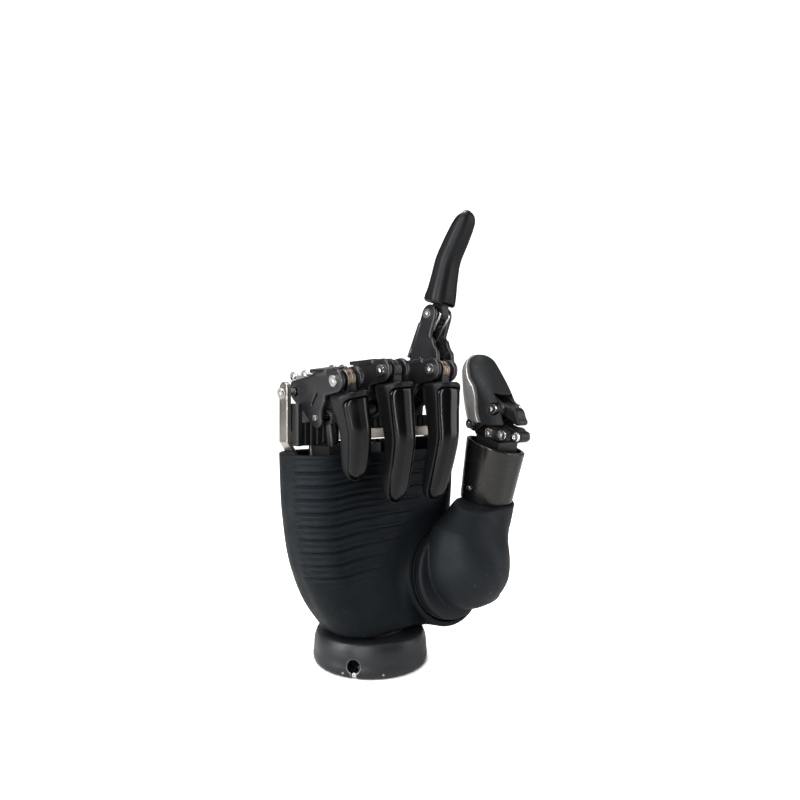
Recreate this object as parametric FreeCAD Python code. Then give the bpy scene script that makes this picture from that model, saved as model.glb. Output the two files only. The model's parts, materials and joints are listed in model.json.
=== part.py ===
"""Right-hand myoelectric prosthetic hand with a wrist coupling ring, posed with the index finger extended.

Frame: origin at the centre of the wrist ring's bottom face, +Z towards the fingertips, the palm faces -Y and the
thumb is on the +X side. Millimetres.

Each finger is built straight in its own frame (z along the finger, -y palmar, x along the knuckle pin) and is then
flexed and fanned into the rest pose. Each sub-part is one solid, or a group of identical fasteners, in its own file.
"""
import FreeCAD
import Part
import math
import os

# Driving dimensions -------------------------------------------------------------------------------------------

RING_R = 25.0  # wrist coupling ring, the 50 mm size
RING_WALL_TOP = 9.0
RING_TOP = 14.0
RING_SHOULDER_R = 19.5
SOCKET_R = 19.0
SOCKET_DEPTH = 8.0
STUB_R = 12.0
STUB_BOTTOM = 8.2
STUB_FLANGE_R = 16.0
CLIP_GROOVE_R = 10.8
SLOT_HALF_W = 1.0  # slot from the keyhole down to the ring's lower face
LOCK_SCREW_R = 0.9
LOCK_SCREW_Z = 1.5
CLIP_Z = (8.7, 9.9)
BEARING_BOTTOM = 10.2
RUN = 0.05  # radial running clearance of every pin and shaft
KEYHOLE_R = 2.8
KEYHOLE_Z = 5.15
KEYHOLE_AZIMUTH = 54.0  # degrees from the palm side towards the ulnar side

PALM_HALF_DEPTH = 17.0
PALM_CORNER_R = 14.0
PALM_WALL = 1.8
PALM_BOTTOM = 15.0
PALM_PART_Y = 8.0  # plane where the back cover meets the palm cover
SCREW_X = 22.0
SCREW_Z = (46.0, 84.0)
COVER_SCREW_R = 1.2
COVER_HEAD_R = 2.2
COVER_HEAD_Y = (16.25, 16.9)
SOCKET_KEY_R = 0.9  # hexagon-key socket of every screw head
PALM_HALF_WIDTHS = ((15, 21.0), (27, 29.8), (44, 37.2), (66, 41.3), (93, 42.8))

PLATE_T = 2.0
PLATE_Y = (1.6, 8.0)
RAIL_Z = (97.5, 102.0)
RAIL_BACK = 6.4
FLOOR_Z = (18.3, 21.0)
CABLE_HOLE_R = 4.0
SIDE_X = 42.0
SIDE_TOP_R = 3.2  # round end of the ulnar side plate, about the little finger's knuckle pin

CURL_CLOSED = 82.0  # knuckle flexion of a curled finger, measured from the palm's long axis
CURL_OPEN = 16.0
TIP_RATIO = 94.0 / 66.0  # fingertip joint turn per degree of knuckle turn
FINGER_HALF_W = 7.2
CHEEK_OUT = 5.6  # outer and inner faces of the proximal's cheeks, from the finger's middle plane
CHEEK_IN = 3.6
KNUCKLE_END_R = 4.6  # round ends of the cheeks, at the knuckle and the fingertip pin
DRIVE_END_R = 4.3
LUG_HALF_W = 2.0
BAR_X = (2.2, 3.3)
PIN_R = 1.5
BUSH_R = 2.5
ANCHOR_PIN_R = 0.75
DRIVE_PIN_R = 1.3
SCREW_HEAD_R = 2.25
SCREW_HEAD_T = 1.1
ANCHOR = (4.5, 4.0)  # palm-side coupler anchor, y and z from the knuckle axis of the straight finger
COUPLER = (-3.9, 0.8)  # fingertip-side coupler pivot, y and z from the fingertip axis
COUPLER_PLAY = 1.35  # radial play in the coupler's palm-side eye, the pivot where the linkage is opened
DRIVE_R = 17.0
DRIVE_CLOSED = 40.0  # drive pin angle below the horizontal in a curled finger
DRIVE_PLAY = 0.42
TIP_BASE = 5.6  # the fingertip's body starts this far from its axis
TIP_LEAN = 0.06  # slope of the fingertip's centre line towards the back of the hand, before its bend
TIP_BEND = 0.34  # slope that the bend takes off, towards the palm side
TIP_BEND_AT = 0.45  # where the bend starts and how long it is, as shares of the fingertip's length
TIP_BEND_SPAN = 0.14
SPINE_HALF = 2.2  # half thickness of the spine inside the fingertip
SPINE_SHARE = 0.6  # where the spine ends, as a share of the fingertip's length
TIP_ROOM_Y = 4.9  # the cheeks end here on the palm side, to let the flexed fingertip in
TIP_ROOM_Z = 9.8

# name: knuckle x, y, z, fan (towards the thumb), proximal length, fingertip length, fingertip half thickness
FINGERS = {
    "index": (31.4, 3.6, 119.7, 6.0, 36.0, 50.5, 6.6),
    "middle": (10.0, 3.6, 122.0, 3.5, 38.5, 54.5, 7.4),
    "ring": (-11.0, 5.2, 122.5, -2.5, 34.5, 54.5, 7.4),
    "little": (-30.5, 5.0, 119.3, -7.5, 30.0, 38.0, 6.8),
}
REST_CURL = {"index": CURL_OPEN, "middle": CURL_CLOSED, "ring": CURL_CLOSED, "little": CURL_CLOSED}

ACTUATOR_Z = (64.0, 96.5)
ACTUATOR_FRONT = -14.1
ACTUATOR_HALF_W = 4.6
MOTOR_R = 5.0
MOTOR_Z = (61.0, 86.0)
MOTOR_NOSE_R = 2.0
MOTOR_BEHIND = 14.3  # from the drive rod's axis to the motor's axis
ROD_R = 2.0
ROD_BOTTOM_Z = 67.0

THUMB_SEAT = (28.0, -19.5, 37.0)
THUMB_SEAT_TILT = 10.0  # the thumb's turning axis leans this much up from straight out of the palm
SEAT_R = 23.0
SEAT_BORE_R = 20.6
ROTOR_R = 20.0
ROTOR_SINK = 5.0
SEAT_DEPTH = 17.0
HUB_R = 8.0
BOOT_R = 19.0
BOOT_CENTRE = (33.5, -26.0, 42.0)
BOOT_HEEL = (38.8, -25.0, 27.0)  # flat lower end of the boot's straight outer side
BOOT_HEEL_R = 12.5
SLEEVE_BASE = (51.0, -22.6, 68.0)
SLEEVE_LEAN = 13.5  # towards the palm side
SLEEVE_LENGTH = 29.0
SLEEVE_HALF = (12.3, 10.8)
SLEEVE_TOP_HALF = (13.6, 12.0)  # the sleeve flares towards its mouth
SLEEVE_CORNER = 8.0
SLEEVE_WALL = 1.6
SLEEVE_SCREW_R = 1.5
SLEEVE_SCREW_Z = 7.0
THUMB_PIVOT = (51.0, -20.3, 103.6)
THUMB_LUG_HALF_W = 3.4
THUMB_EAR_X = (3.55, 5.6)
THUMB_EAR_R = 3.4
THUMB_LOW_PIN_R = 1.2
THUMB_DRIVE = (51.0, -34.0, 110.6)
THUMB_LOW_PINS = ((-38.4, 99.2), (-31.0, 99.8))
THUMB_HALF_W = 8.8
THUMB_TIP = (51.0, -16.5, 135.6)

V = FreeCAD.Vector


# Shape helpers ------------------------------------------------------------------------------------------------

def rod(radius, start, end):
    """Solid cylinder between two points."""
    axis = V(*end) - V(*start)
    return Part.makeCylinder(radius, axis.Length, V(*start), axis)


def tube(outer, inner, start, end):
    return rod(outer, start, end).cut(rod(inner, start, end))


def block(x, y, z):
    """Box from three (low, high) pairs."""
    return Part.makeBox(x[1] - x[0], y[1] - y[0], z[1] - z[0], V(x[0], y[0], z[0]))


def cross_rod(radius, centre, x):
    """Cylinder along x at a (y, z) centre."""
    return rod(radius, (x[0], *centre), (x[1], *centre))


def prism(points, x):
    """Polygon of (y, z) points extruded along x."""
    corners = [V(x[0], y, z) for y, z in points]
    return Part.Face(Part.makePolygon(corners + corners[:1])).extrude(V(x[1] - x[0], 0, 0))


def joined(shapes):
    """One clean solid from overlapping shapes."""
    return shapes[0].multiFuse(shapes[1:]).removeSplitter()


def belt(first, second, x):
    """Plate with two round ends: each end is (y, z, radius)."""
    y1, z1, r1 = first
    y2, z2, r2 = second
    heading = math.atan2(z2 - z1, y2 - y1)
    spread = math.acos((r1 - r2) / math.hypot(y2 - y1, z2 - z1))
    upper, lower = heading + spread, heading - spread
    corners = [
        (y1 + r1 * math.cos(upper), z1 + r1 * math.sin(upper)),
        (y2 + r2 * math.cos(upper), z2 + r2 * math.sin(upper)),
        (y2 + r2 * math.cos(lower), z2 + r2 * math.sin(lower)),
        (y1 + r1 * math.cos(lower), z1 + r1 * math.sin(lower)),
    ]
    return joined([prism(corners, x), cross_rod(r1, (y1, z1), x), cross_rod(r2, (y2, z2), x)])


def web(ends, x):
    """Plate whose outline wraps three round ends."""
    sides = [belt(ends[i], ends[(i + 1) % 3], x) for i in range(3)]
    return joined(sides + [prism([end[:2] for end in ends], x)])


def rounded_wire(half_x, half_y, corner, centre=V(0, 0, 0)):
    """Rounded rectangle in a plane of constant z."""
    a, b = half_x - corner, half_y - corner
    diagonal = corner / math.sqrt(2)
    edges = []
    for sx, sy in ((1, 1), (-1, 1), (-1, -1), (1, -1)):
        side, top = V(sx * half_x, sy * b, 0), V(sx * a, sy * half_y, 0)
        middle = V(sx * (a + diagonal), sy * (b + diagonal), 0)
        first, last = (side, top) if sx == sy else (top, side)
        if edges:
            edges.append(Part.makeLine(edges[-1].Vertexes[-1].Point, first))
        edges.append(Part.Arc(first, middle, last).toShape())
    edges.append(Part.makeLine(edges[-1].Vertexes[-1].Point, edges[0].Vertexes[0].Point))
    wire = Part.Wire(edges)
    wire.translate(centre)
    return wire


def turned(shape, degrees, centre=(0, 0, 0), axis=(1, 0, 0)):
    """Copy of a shape turned about an axis."""
    copy = shape.copy()
    copy.rotate(V(*centre), V(*axis), degrees)
    return copy


def write(name, shape):
    shape.exportStep("parts/" + name + ".step")


# Wrist --------------------------------------------------------------------------------------------------------

def wrist_ring():
    shoulder_z = RING_WALL_TOP + (RING_TOP - RING_WALL_TOP) * 0.62
    profile = [
        Part.makeLine(V(SOCKET_R, 0, 0), V(RING_R - 1.5, 0, 0)),
        Part.Arc(V(RING_R - 1.5, 0, 0), V(RING_R - 0.44, 0, 0.44), V(RING_R, 0, 1.5)).toShape(),
        Part.makeLine(V(RING_R, 0, 1.5), V(RING_R, 0, RING_WALL_TOP)),
        Part.Arc(V(RING_R, 0, RING_WALL_TOP), V(RING_R - 1.6, 0, shoulder_z), V(RING_SHOULDER_R, 0, RING_TOP)).toShape(),
        Part.makeLine(V(RING_SHOULDER_R, 0, RING_TOP), V(STUB_R + 3, 0, RING_TOP)),
        Part.makeLine(V(STUB_R + 3, 0, RING_TOP), V(STUB_R + 3, 0, SOCKET_DEPTH)),
        Part.makeLine(V(STUB_R + 3, 0, SOCKET_DEPTH), V(SOCKET_R, 0, SOCKET_DEPTH)),
        Part.makeLine(V(SOCKET_R, 0, SOCKET_DEPTH), V(SOCKET_R, 0, 0)),
    ]
    ring = Part.Face(Part.Wire(profile)).revolve(V(0, 0, 0), V(0, 0, 1), 360)
    outward = keyhole_direction()
    far = outward * (RING_R + 5)
    hole = rod(KEYHOLE_R, (0, 0, KEYHOLE_Z), (far.x, far.y, KEYHOLE_Z))
    slot = block((0, RING_R + 5), (-SLOT_HALF_W, SLOT_HALF_W), (-1.0, KEYHOLE_Z))
    slot.rotate(V(0, 0, 0), V(0, 0, 1), math.degrees(math.atan2(outward.y, outward.x)))
    core = Part.makeCylinder(SOCKET_R, SOCKET_DEPTH)
    return ring.cut(hole.fuse(slot).cut(core))


def keyhole_direction():
    angle = math.radians(KEYHOLE_AZIMUTH)
    return V(-math.sin(angle), -math.cos(angle), 0)


def lock_screw():
    """Screw that clamps the ring's keyhole slot, flush in the slot beside the hole."""
    outward = keyhole_direction()
    start, end = outward * (SOCKET_R + 0.6), outward * (RING_R - 0.9)
    recess_start = end - outward * 0.5
    body = rod(LOCK_SCREW_R, (start.x, start.y, LOCK_SCREW_Z), (end.x, end.y, LOCK_SCREW_Z))
    recess = rod(0.4, (recess_start.x, recess_start.y, LOCK_SCREW_Z), (end.x, end.y, LOCK_SCREW_Z))
    return body.cut(recess)


def wrist_bearing():
    return tube(STUB_R + 3, STUB_R + RUN, (0, 0, BEARING_BOTTOM), (0, 0, RING_TOP))


def wrist_stub():
    """Shaft of the palm in the wrist bearing, with its flange under the palm floor."""
    shaft = rod(STUB_R, (0, 0, STUB_BOTTOM), (0, 0, RING_TOP + 0.3))
    flange = rod(STUB_FLANGE_R, (0, 0, RING_TOP + 0.3), (0, 0, FLOOR_Z[0]))
    groove = tube(STUB_R + 1, CLIP_GROOVE_R, (0, 0, CLIP_Z[0]), (0, 0, CLIP_Z[1]))
    return joined([shaft, flange]).cut(groove).cut(rod(CABLE_HOLE_R, (0, 0, 0), (0, 0, FLOOR_Z[0])))


def retaining_clip():
    """Spring clip in the stub's groove that stops the palm lifting off the ring."""
    clip = tube(STUB_R + 2.2, CLIP_GROOVE_R, (0, 0, CLIP_Z[0]), (0, 0, CLIP_Z[1]))
    return clip.cut(block((-1.5, 1.5), (0, STUB_R + 3), CLIP_Z))


# Palm ---------------------------------------------------------------------------------------------------------

def palm_body(inset):
    """The palm's outer form shrunk by an inset on every side."""
    wires = []
    for z, half_width in PALM_HALF_WIDTHS:
        low = 0.97 + 0.03 * min(1.0, (z - PALM_BOTTOM) / 16.0)
        half_depth = PALM_HALF_DEPTH * low
        wires.append(rounded_wire(half_width - inset, half_depth - inset, PALM_CORNER_R * low - inset, V(0, 0, z)))
    return Part.makeLoft(wires, True, False)


def seat_axis():
    tilt = math.radians(THUMB_SEAT_TILT)
    return V(0, -math.cos(tilt), math.sin(tilt))


def seat_point(along):
    """Point on the thumb's turning axis, measured outwards from the seat's rim."""
    point = V(*THUMB_SEAT) + seat_axis() * along
    return (point.x, point.y, point.z)


def seat_rod(radius, start, end):
    return rod(radius, seat_point(start), seat_point(end))


def palm_shell():
    """Palm and back covers as one hollow shell, open at the top, with the round thumb seat."""
    floor = block((-60, 60), (-40, 40), (PALM_BOTTOM, FLOOR_Z[0] - 0.05))
    cavity = palm_body(PALM_WALL).cut(floor)
    seat = seat_rod(SEAT_R, -SEAT_DEPTH, 0)
    shell = palm_body(0).cut(cavity)
    shell = shell.fuse(seat)
    shell = shell.cut(seat_rod(SEAT_BORE_R, -ROTOR_SINK, 30))
    shell = shell.cut(seat_rod(HUB_R + 2, -SEAT_DEPTH - 1, 0))
    shell = shell.cut(seat_rod(HUB_R + 4.5, -SEAT_DEPTH + 1.5, -ROTOR_SINK - 4))
    shell = shell.cut(rod(RING_R + 0.6, (0, 0, 0), (0, 0, RING_TOP + 0.6)))
    return shell.cut(rod(STUB_FLANGE_R + 0.5, (0, 0, PALM_BOTTOM - 1), (0, 0, FLOOR_Z[0])))


def palm_cover(shell):
    return shell.common(block((-80, 80), (-80, PALM_PART_Y), (0, 200)))


def screw_places():
    """Back cover screws, as (x, z)."""
    return [(x, z) for x in (-SCREW_X, SCREW_X) for z in SCREW_Z]


def back_cover(shell):
    cover = shell.common(block((-80, 80), (PALM_PART_Y + 0.1, 80), (0, 200)))
    for x, z in screw_places():
        cover = cover.cut(rod(COVER_SCREW_R + 0.1, (x, 5, z), (x, 30, z)))
        cover = cover.cut(rod(COVER_HEAD_R + 0.1, (x, COVER_HEAD_Y[0] - RUN, z), (x, 30, z)))
    return cover


def cover_screws():
    screws = []
    for x, z in screw_places():
        head = rod(COVER_HEAD_R, (x, COVER_HEAD_Y[0], z), (x, COVER_HEAD_Y[1], z))
        shank = rod(COVER_SCREW_R, (x, 10.5, z), (x, COVER_HEAD_Y[0] + RUN, z))
        socket = rod(SOCKET_KEY_R, (x, 16.5, z), (x, 17.2, z))
        screws.append(joined([head, shank]).cut(socket))
    return Part.makeCompound(screws)


def strip(path):
    """Bent sheet: (x, z) path of its inner face, given thickness away from the hand's middle."""
    side = 1 if path[0][0] > 0 else -1
    outer = [(x + side * PLATE_T, z) for x, z in path]
    corners = [V(x, PLATE_Y[0], z) for x, z in path + outer[::-1]]
    return Part.Face(Part.makePolygon(corners + corners[:1])).extrude(V(0, PLATE_Y[1] - PLATE_Y[0], 0))


def chassis():
    """Nickel frame: floor, two side plates that follow the covers, and the cross rail under the knuckles."""
    floor = block((-19, 19), (-4.5, 10), FLOOR_Z)
    side_path = [(17, FLOOR_Z[0]), (27.0, 35), (34.0, 55), (36.4, 75), (37.0, 93), (SIDE_X - PLATE_T, 97.5)]
    pin_z = FINGERS["little"][2]
    ulnar = strip([(-x, z) for x, z in side_path] + [(-SIDE_X + PLATE_T, pin_z)])
    eye = cross_rod(SIDE_TOP_R, (sum(PLATE_Y) / 2, pin_z), (-SIDE_X, -SIDE_X + PLATE_T))
    radial = strip(side_path + [(SIDE_X - PLATE_T, RAIL_Z[1])])
    rail = block((-SIDE_X + 0.5, SIDE_X - 0.5), (PLATE_Y[0], RAIL_BACK), RAIL_Z)
    frame = joined([floor, ulnar, eye, radial, rail])
    frame = frame.cut(rod(CABLE_HOLE_R, (0, 0, FLOOR_Z[0]), (0, 0, FLOOR_Z[1])))
    return frame.cut(in_hand("little", cross_rod(PIN_R + RUN, (0, 0), (-20, 0))))


def knuckle_block():
    """Bridge on the cross rail with one lug per finger that carries the knuckle pin and the coupler's anchor."""
    bridge = block((-37, 37), (PLATE_Y[0] + 0.3, RAIL_BACK - 0.3), (RAIL_Z[1], RAIL_Z[1] + 2.5))
    lugs = []
    for name in FINGERS:
        post = block((-LUG_HALF_W, LUG_HALF_W), (-3.2, 3.2), (-24, 0))
        head = belt((0, 0, 4.4), (*ANCHOR, 2.0), (-LUG_HALF_W, LUG_HALF_W))
        lugs.append(in_hand(name, joined([post, head])))
    above_rail = block((-80, 80), (-80, 80), (RAIL_Z[1], 200))
    body = joined([bridge] + [lug.common(above_rail) for lug in lugs])
    for name in FINGERS:
        body = body.cut(in_hand(name, cross_rod(PIN_R, (0, 0), (-10, 10))))
        body = body.cut(in_hand(name, cross_rod(ANCHOR_PIN_R, ANCHOR, (-10, 10))))
    return body


def headed_pin(radius, half_length, left=None):
    """Pin along x at the origin with a socket-head screw at each end."""
    left = -half_length if left is None else left
    shaft = cross_rod(radius, (0, 0), (left, half_length))
    heads = [
        cross_rod(SCREW_HEAD_R, (0, 0), (left - SCREW_HEAD_T, left)),
        cross_rod(SCREW_HEAD_R, (0, 0), (half_length, half_length + SCREW_HEAD_T)),
    ]
    pin = joined([shaft] + heads)
    for end, inward in ((left - SCREW_HEAD_T, 1), (half_length + SCREW_HEAD_T, -1)):
        pin = pin.cut(cross_rod(SOCKET_KEY_R, (0, 0), sorted((end - inward, end + inward * 0.7))))
    return pin


def knuckle_pins():
    """A knuckle pin and a coupler anchor pin per finger; the little finger's knuckle pin also passes through the
    ulnar side plate."""
    anchor_reach = (-BAR_X[1] - 0.15, BAR_X[1] + 0.15)
    pins = []
    for name in FINGERS:
        left = -SIDE_X - FINGERS[name][0] - 0.4 if name == "little" else None
        pins.append(in_hand(name, headed_pin(PIN_R, CHEEK_OUT + 0.25, left)))
        pins.append(in_hand(name, cross_rod(ANCHOR_PIN_R, ANCHOR, anchor_reach)))
    return Part.makeCompound(pins)


def in_hand(name, shape):
    """Move a shape from a finger's unflexed frame to its knuckle, fanned sideways."""
    x, y, z, fan = FINGERS[name][:4]
    placed = turned(shape, fan, axis=(0, 1, 0))
    placed.translate(V(x, y, z))
    return placed


def drive_y():
    """Middle of the drive pin's fore-and-aft travel, from the knuckle axis."""
    return -DRIVE_R * (1 + math.cos(math.radians(DRIVE_CLOSED))) / 2


def finger_actuators():
    """Guide housings, one per finger, each bored for its drive rod."""
    housings = []
    for name in FINGERS:
        y, z = FINGERS[name][1:3]
        front = ACTUATOR_FRONT - y
        case = block((-ACTUATOR_HALF_W, ACTUATOR_HALF_W), (front, drive_y() + 9.0), (ACTUATOR_Z[0] - z, ACTUATOR_Z[1] - z))
        bore = rod(ROD_R + RUN, (0, drive_y(), ROD_BOTTOM_Z - 1 - z), (0, drive_y(), ACTUATOR_Z[1] + 1 - z))
        housings.append(in_hand(name, case.cut(bore)))
    return Part.makeCompound(housings)


def actuator_motors():
    motors = []
    for name in FINGERS:
        z = FINGERS[name][2]
        y = drive_y() + MOTOR_BEHIND
        can = rod(MOTOR_R, (0, y, MOTOR_Z[0] - z), (0, y, MOTOR_Z[1] - z))
        nose = rod(MOTOR_NOSE_R, (0, y, MOTOR_Z[1] - z), (0, y, MOTOR_Z[1] + 2.0 - z))
        motors.append(in_hand(name, joined([can, nose])))
    return Part.makeCompound(motors)


def control_board():
    board = block((-22, 10), (8.6, 10.2), (26, 52))
    chip = block((-16, -6), (7.4, 8.6), (34, 44))
    driver = block((-2, 6), (7.0, 8.6), (30, 36))
    connector = block((-18, 4), (6.6, 8.6), (47, 51))
    return joined([board, chip, driver, connector])


# Fingers ------------------------------------------------------------------------------------------------------

def flexed(name, shape):
    """Place a proximal part: flex it about the knuckle by its rest curl, then fan it."""
    return in_hand(name, turned(shape, REST_CURL[name]))


def tip_turn(name):
    return TIP_RATIO * (REST_CURL[name] - CURL_OPEN)


def at_tip(name, shape):
    """Place a fingertip part built with its own axis at the origin."""
    placed = turned(shape, tip_turn(name))
    placed.translate(V(0, 0, FINGERS[name][4]))
    return flexed(name, placed)


def drive_pin_place():
    """Drive pin in the straight finger's frame: its angle follows from the curled pose."""
    angle = math.radians(DRIVE_CLOSED - CURL_CLOSED)
    return (-DRIVE_R * math.cos(angle), -DRIVE_R * math.sin(angle))


def proximal(name):
    """Two triangular cheeks between knuckle, drive pin and fingertip pin, joined by a dorsal bridge."""
    length = FINGERS[name][4]
    ends = [(0, 0, KNUCKLE_END_R), (0, length, KNUCKLE_END_R), (*drive_pin_place(), DRIVE_END_R)]
    cheeks = [web(ends, (-CHEEK_OUT, -CHEEK_IN)), web(ends, (CHEEK_IN, CHEEK_OUT))]
    outline = [(7.0, 13.5), (5.6, length - 7.0), (4.3, length - 5.0), (4.0, length - 7.0), (5.7, 13.5)]
    bridge = prism(outline, (-CHEEK_OUT, CHEEK_OUT))
    tip_room = block((-20, 20), (-40, -TIP_ROOM_Y), (length - TIP_ROOM_Z, length + 20))
    housing = joined(cheeks + [bridge]).cut(tip_room)
    housing = housing.cut(cross_rod(PIN_R + RUN, (0, 0), (-20, 20)))
    housing = housing.cut(cross_rod(PIN_R, (0, length), (-20, 20)))
    return housing.cut(cross_rod(DRIVE_PIN_R, drive_pin_place(), (-20, 20)))


def finger_pins(name):
    """Fingertip pin with its two screw heads, and the plain drive pin."""
    tip_pin = headed_pin(PIN_R, CHEEK_OUT)
    tip_pin.translate(V(0, 0, FINGERS[name][4]))
    drive_pin = cross_rod(DRIVE_PIN_R, drive_pin_place(), (-CHEEK_OUT - 0.4, CHEEK_OUT + 0.4))
    return Part.makeCompound([tip_pin, drive_pin])


def coupler_span(name, curl):
    """Fingertip-side coupler pivot at a knuckle flexion, and the coupler's length and lean from there."""
    length = FINGERS[name][4]
    bend = math.radians(curl + TIP_RATIO * (curl - CURL_OPEN))
    knuckle = math.radians(curl)
    y = -length * math.sin(knuckle) + COUPLER[0] * math.cos(bend) - COUPLER[1] * math.sin(bend)
    z = length * math.cos(knuckle) + COUPLER[0] * math.sin(bend) + COUPLER[1] * math.cos(bend)
    to_anchor = (ANCHOR[0] - y, ANCHOR[1] - z)
    return (y, z), math.hypot(*to_anchor), math.degrees(math.atan2(to_anchor[0], -to_anchor[1]))


def coupler_fit(name):
    """Mean coupler length over the finger's travel, and half the greatest gap between its true lean and the
    straight-line lean of a constant gear ratio."""
    steps = [CURL_OPEN + (CURL_CLOSED - CURL_OPEN) * i / 12 for i in range(13)]
    spans = [coupler_span(name, curl) for curl in steps]
    reaches = [span[1] for span in spans]
    leans = [span[2] for span in spans]
    gaps = [lean - leans[0] - (leans[-1] - leans[0]) * i / 12 for i, lean in enumerate(leans)]
    widest = max(gaps, key=abs)
    return (min(reaches) + max(reaches)) / 2, widest / 2


def coupler_link(name):
    """Two bars with round ends that bend the fingertip as the knuckle flexes."""
    pivot, _, lean = coupler_span(name, REST_CURL[name])
    reach, offset = coupler_fit(name)
    heading = math.radians(lean + offset)
    near = (pivot[0] + reach * math.sin(heading), pivot[1] - reach * math.cos(heading))
    bars = []
    for side in (BAR_X, (-BAR_X[1], -BAR_X[0])):
        bar = joined([belt((*near, 1.6), (*pivot, 1.45), side), cross_rod(3.0, near, side)])
        bar = bar.cut(cross_rod(ANCHOR_PIN_R + COUPLER_PLAY, near, side))
        bars.append(bar.cut(cross_rod(ANCHOR_PIN_R + RUN, pivot, side)))
    return in_hand(name, Part.makeCompound(bars))


def drive_rod(name):
    """Rod from the finger's actuator with a slotted head around the drive pin."""
    angle = math.radians(DRIVE_CLOSED - (CURL_CLOSED - REST_CURL[name]))
    pin_z = -DRIVE_R * math.sin(angle) - 0.25
    half_travel = DRIVE_R * (1 - math.cos(math.radians(DRIVE_CLOSED))) / 2
    slot_r = DRIVE_PIN_R + DRIVE_PLAY
    ends = (drive_y() - half_travel, drive_y() + half_travel)
    head = belt((ends[0], pin_z, slot_r + 1.2), (ends[1], pin_z, slot_r + 1.201), (-LUG_HALF_W, LUG_HALF_W))
    slot = belt((ends[0], pin_z, slot_r), (ends[1], pin_z, slot_r + 0.001), (-9, 9))
    low = ROD_BOTTOM_Z - FINGERS[name][2] + rod_lift(name)
    shaft = rod(ROD_R, (0, drive_y(), low), (0, drive_y(), pin_z))
    return in_hand(name, joined([head, shaft]).cut(slot))


def rod_lift(name):
    """How far the rod stands above its lowest place in the rest pose."""
    closed = math.radians(DRIVE_CLOSED)
    now = math.radians(DRIVE_CLOSED - (CURL_CLOSED - REST_CURL[name]))
    return DRIVE_R * (math.sin(closed) - math.sin(now))


def tip_bush():
    return tube(BUSH_R, PIN_R + RUN, (-LUG_HALF_W, 0, 0), (LUG_HALF_W, 0, 0))


def tip_form(name):
    """Fingertip's outer form from its base to its rounded end."""
    length, depth = FINGERS[name][5:7]
    stations = (
        (TIP_BASE, 1.0, 0.95), (0.16 * length, 0.99, 0.97), (0.34 * length, 0.88, 0.86), (0.52 * length, 0.8, 0.79),
        (0.72 * length, 0.77, 0.74), (0.88 * length, 0.65, 0.6), (0.96 * length, 0.44, 0.4), (length, 0.12, 0.1),
    )
    wires = []
    for z, wide, deep in stations:
        half_x = FINGER_HALF_W * wide
        half_y = depth * deep
        wires.append(rounded_wire(half_x, half_y, 0.8 * min(half_x, half_y), V(0, tip_sweep(z, length), z)))
    return Part.makeLoft(wires, True, False)


def tip_sweep(z, length):
    """Where the fingertip's centre line runs: straight at first, then bent towards the palm side."""
    past = max(0.0, z / length - TIP_BEND_AT)
    if past < TIP_BEND_SPAN:
        drop = past ** 2 / (2 * TIP_BEND_SPAN)
    else:
        drop = past - TIP_BEND_SPAN / 2
    return TIP_LEAN * z - TIP_BEND * drop * length


def tip_side(name, side):
    """Everything on the dorsal (1) or palm (-1) side of the fingertip's bent middle surface."""
    length = FINGERS[name][5]
    heights = [0.0] + [length * (0.4 + 0.05 * i) for i in range(14)]
    middle = [(tip_sweep(z, length) + side * 0.05, z) for z in heights]
    return prism(middle + [(side * 30, heights[-1]), (side * 30, 0)], (-20, 20))


def tip_core(name):
    """Structural core: a tongue between the cheeks that cradles the bush, and a spine inside the fingertip."""
    length = FINGERS[name][5]
    tongue = web([(0.0, 0.0, 3.4), (*COUPLER, 2.0), (0.0, 9.0, SPINE_HALF)], (-LUG_HALF_W, LUG_HALF_W))
    spine = block((-LUG_HALF_W, LUG_HALF_W), (-SPINE_HALF, SPINE_HALF), (8.0, SPINE_SHARE * length))
    core = joined([tongue, spine])
    core = core.cut(cross_rod(BUSH_R, (0, 0), (-9, 9)))
    core = core.cut(cross_rod(ANCHOR_PIN_R, COUPLER, (-9, 9)))
    pin = cross_rod(ANCHOR_PIN_R, COUPLER, (-BAR_X[1] - 0.1, BAR_X[1] + 0.1))
    return joined([core, pin])


def tip_half(name, dorsal):
    """Hard shell on the dorsal side, soft grip on the palm side, both hollow around the core."""
    length = FINGERS[name][5]
    half = tip_form(name).common(tip_side(name, 1 if dorsal else -1))
    slot_half = LUG_HALF_W + 0.1
    pocket = block((-slot_half, slot_half), (-SPINE_HALF - 0.1, SPINE_HALF + 0.1), (0, SPINE_SHARE * length + 0.1))
    tongue_room = cross_rod(TIP_BASE + 4.2, (0, 0), (-slot_half, slot_half))
    bar_room = block((-CHEEK_IN, CHEEK_IN), (-20, 1.5), (0, TIP_BASE + 1.2))
    return half.cut(pocket).cut(tongue_room).cut(bar_room)


def finger(name):
    return {
        name + "_proximal": flexed(name, proximal(name)),
        name + "_pins": flexed(name, finger_pins(name)),
        name + "_coupler": coupler_link(name),
        name + "_drive_rod": drive_rod(name),
        name + "_bush": at_tip(name, tip_bush()),
        name + "_tip_core": at_tip(name, tip_core(name)),
        name + "_tip_shell": at_tip(name, tip_half(name, True)),
        name + "_tip_grip": at_tip(name, tip_half(name, False)),
    }


# Thumb --------------------------------------------------------------------------------------------------------

def thumb_rotor():
    flange = seat_rod(ROTOR_R, -ROTOR_SINK + 0.3, 1.0)
    hub = seat_rod(HUB_R, -SEAT_DEPTH + 3.4, -ROTOR_SINK + 0.3)
    return joined([flange, hub])


def thumb_bearing():
    return tube(HUB_R + 2, HUB_R + RUN, seat_point(-ROTOR_SINK - 4), seat_point(-ROTOR_SINK))


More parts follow.
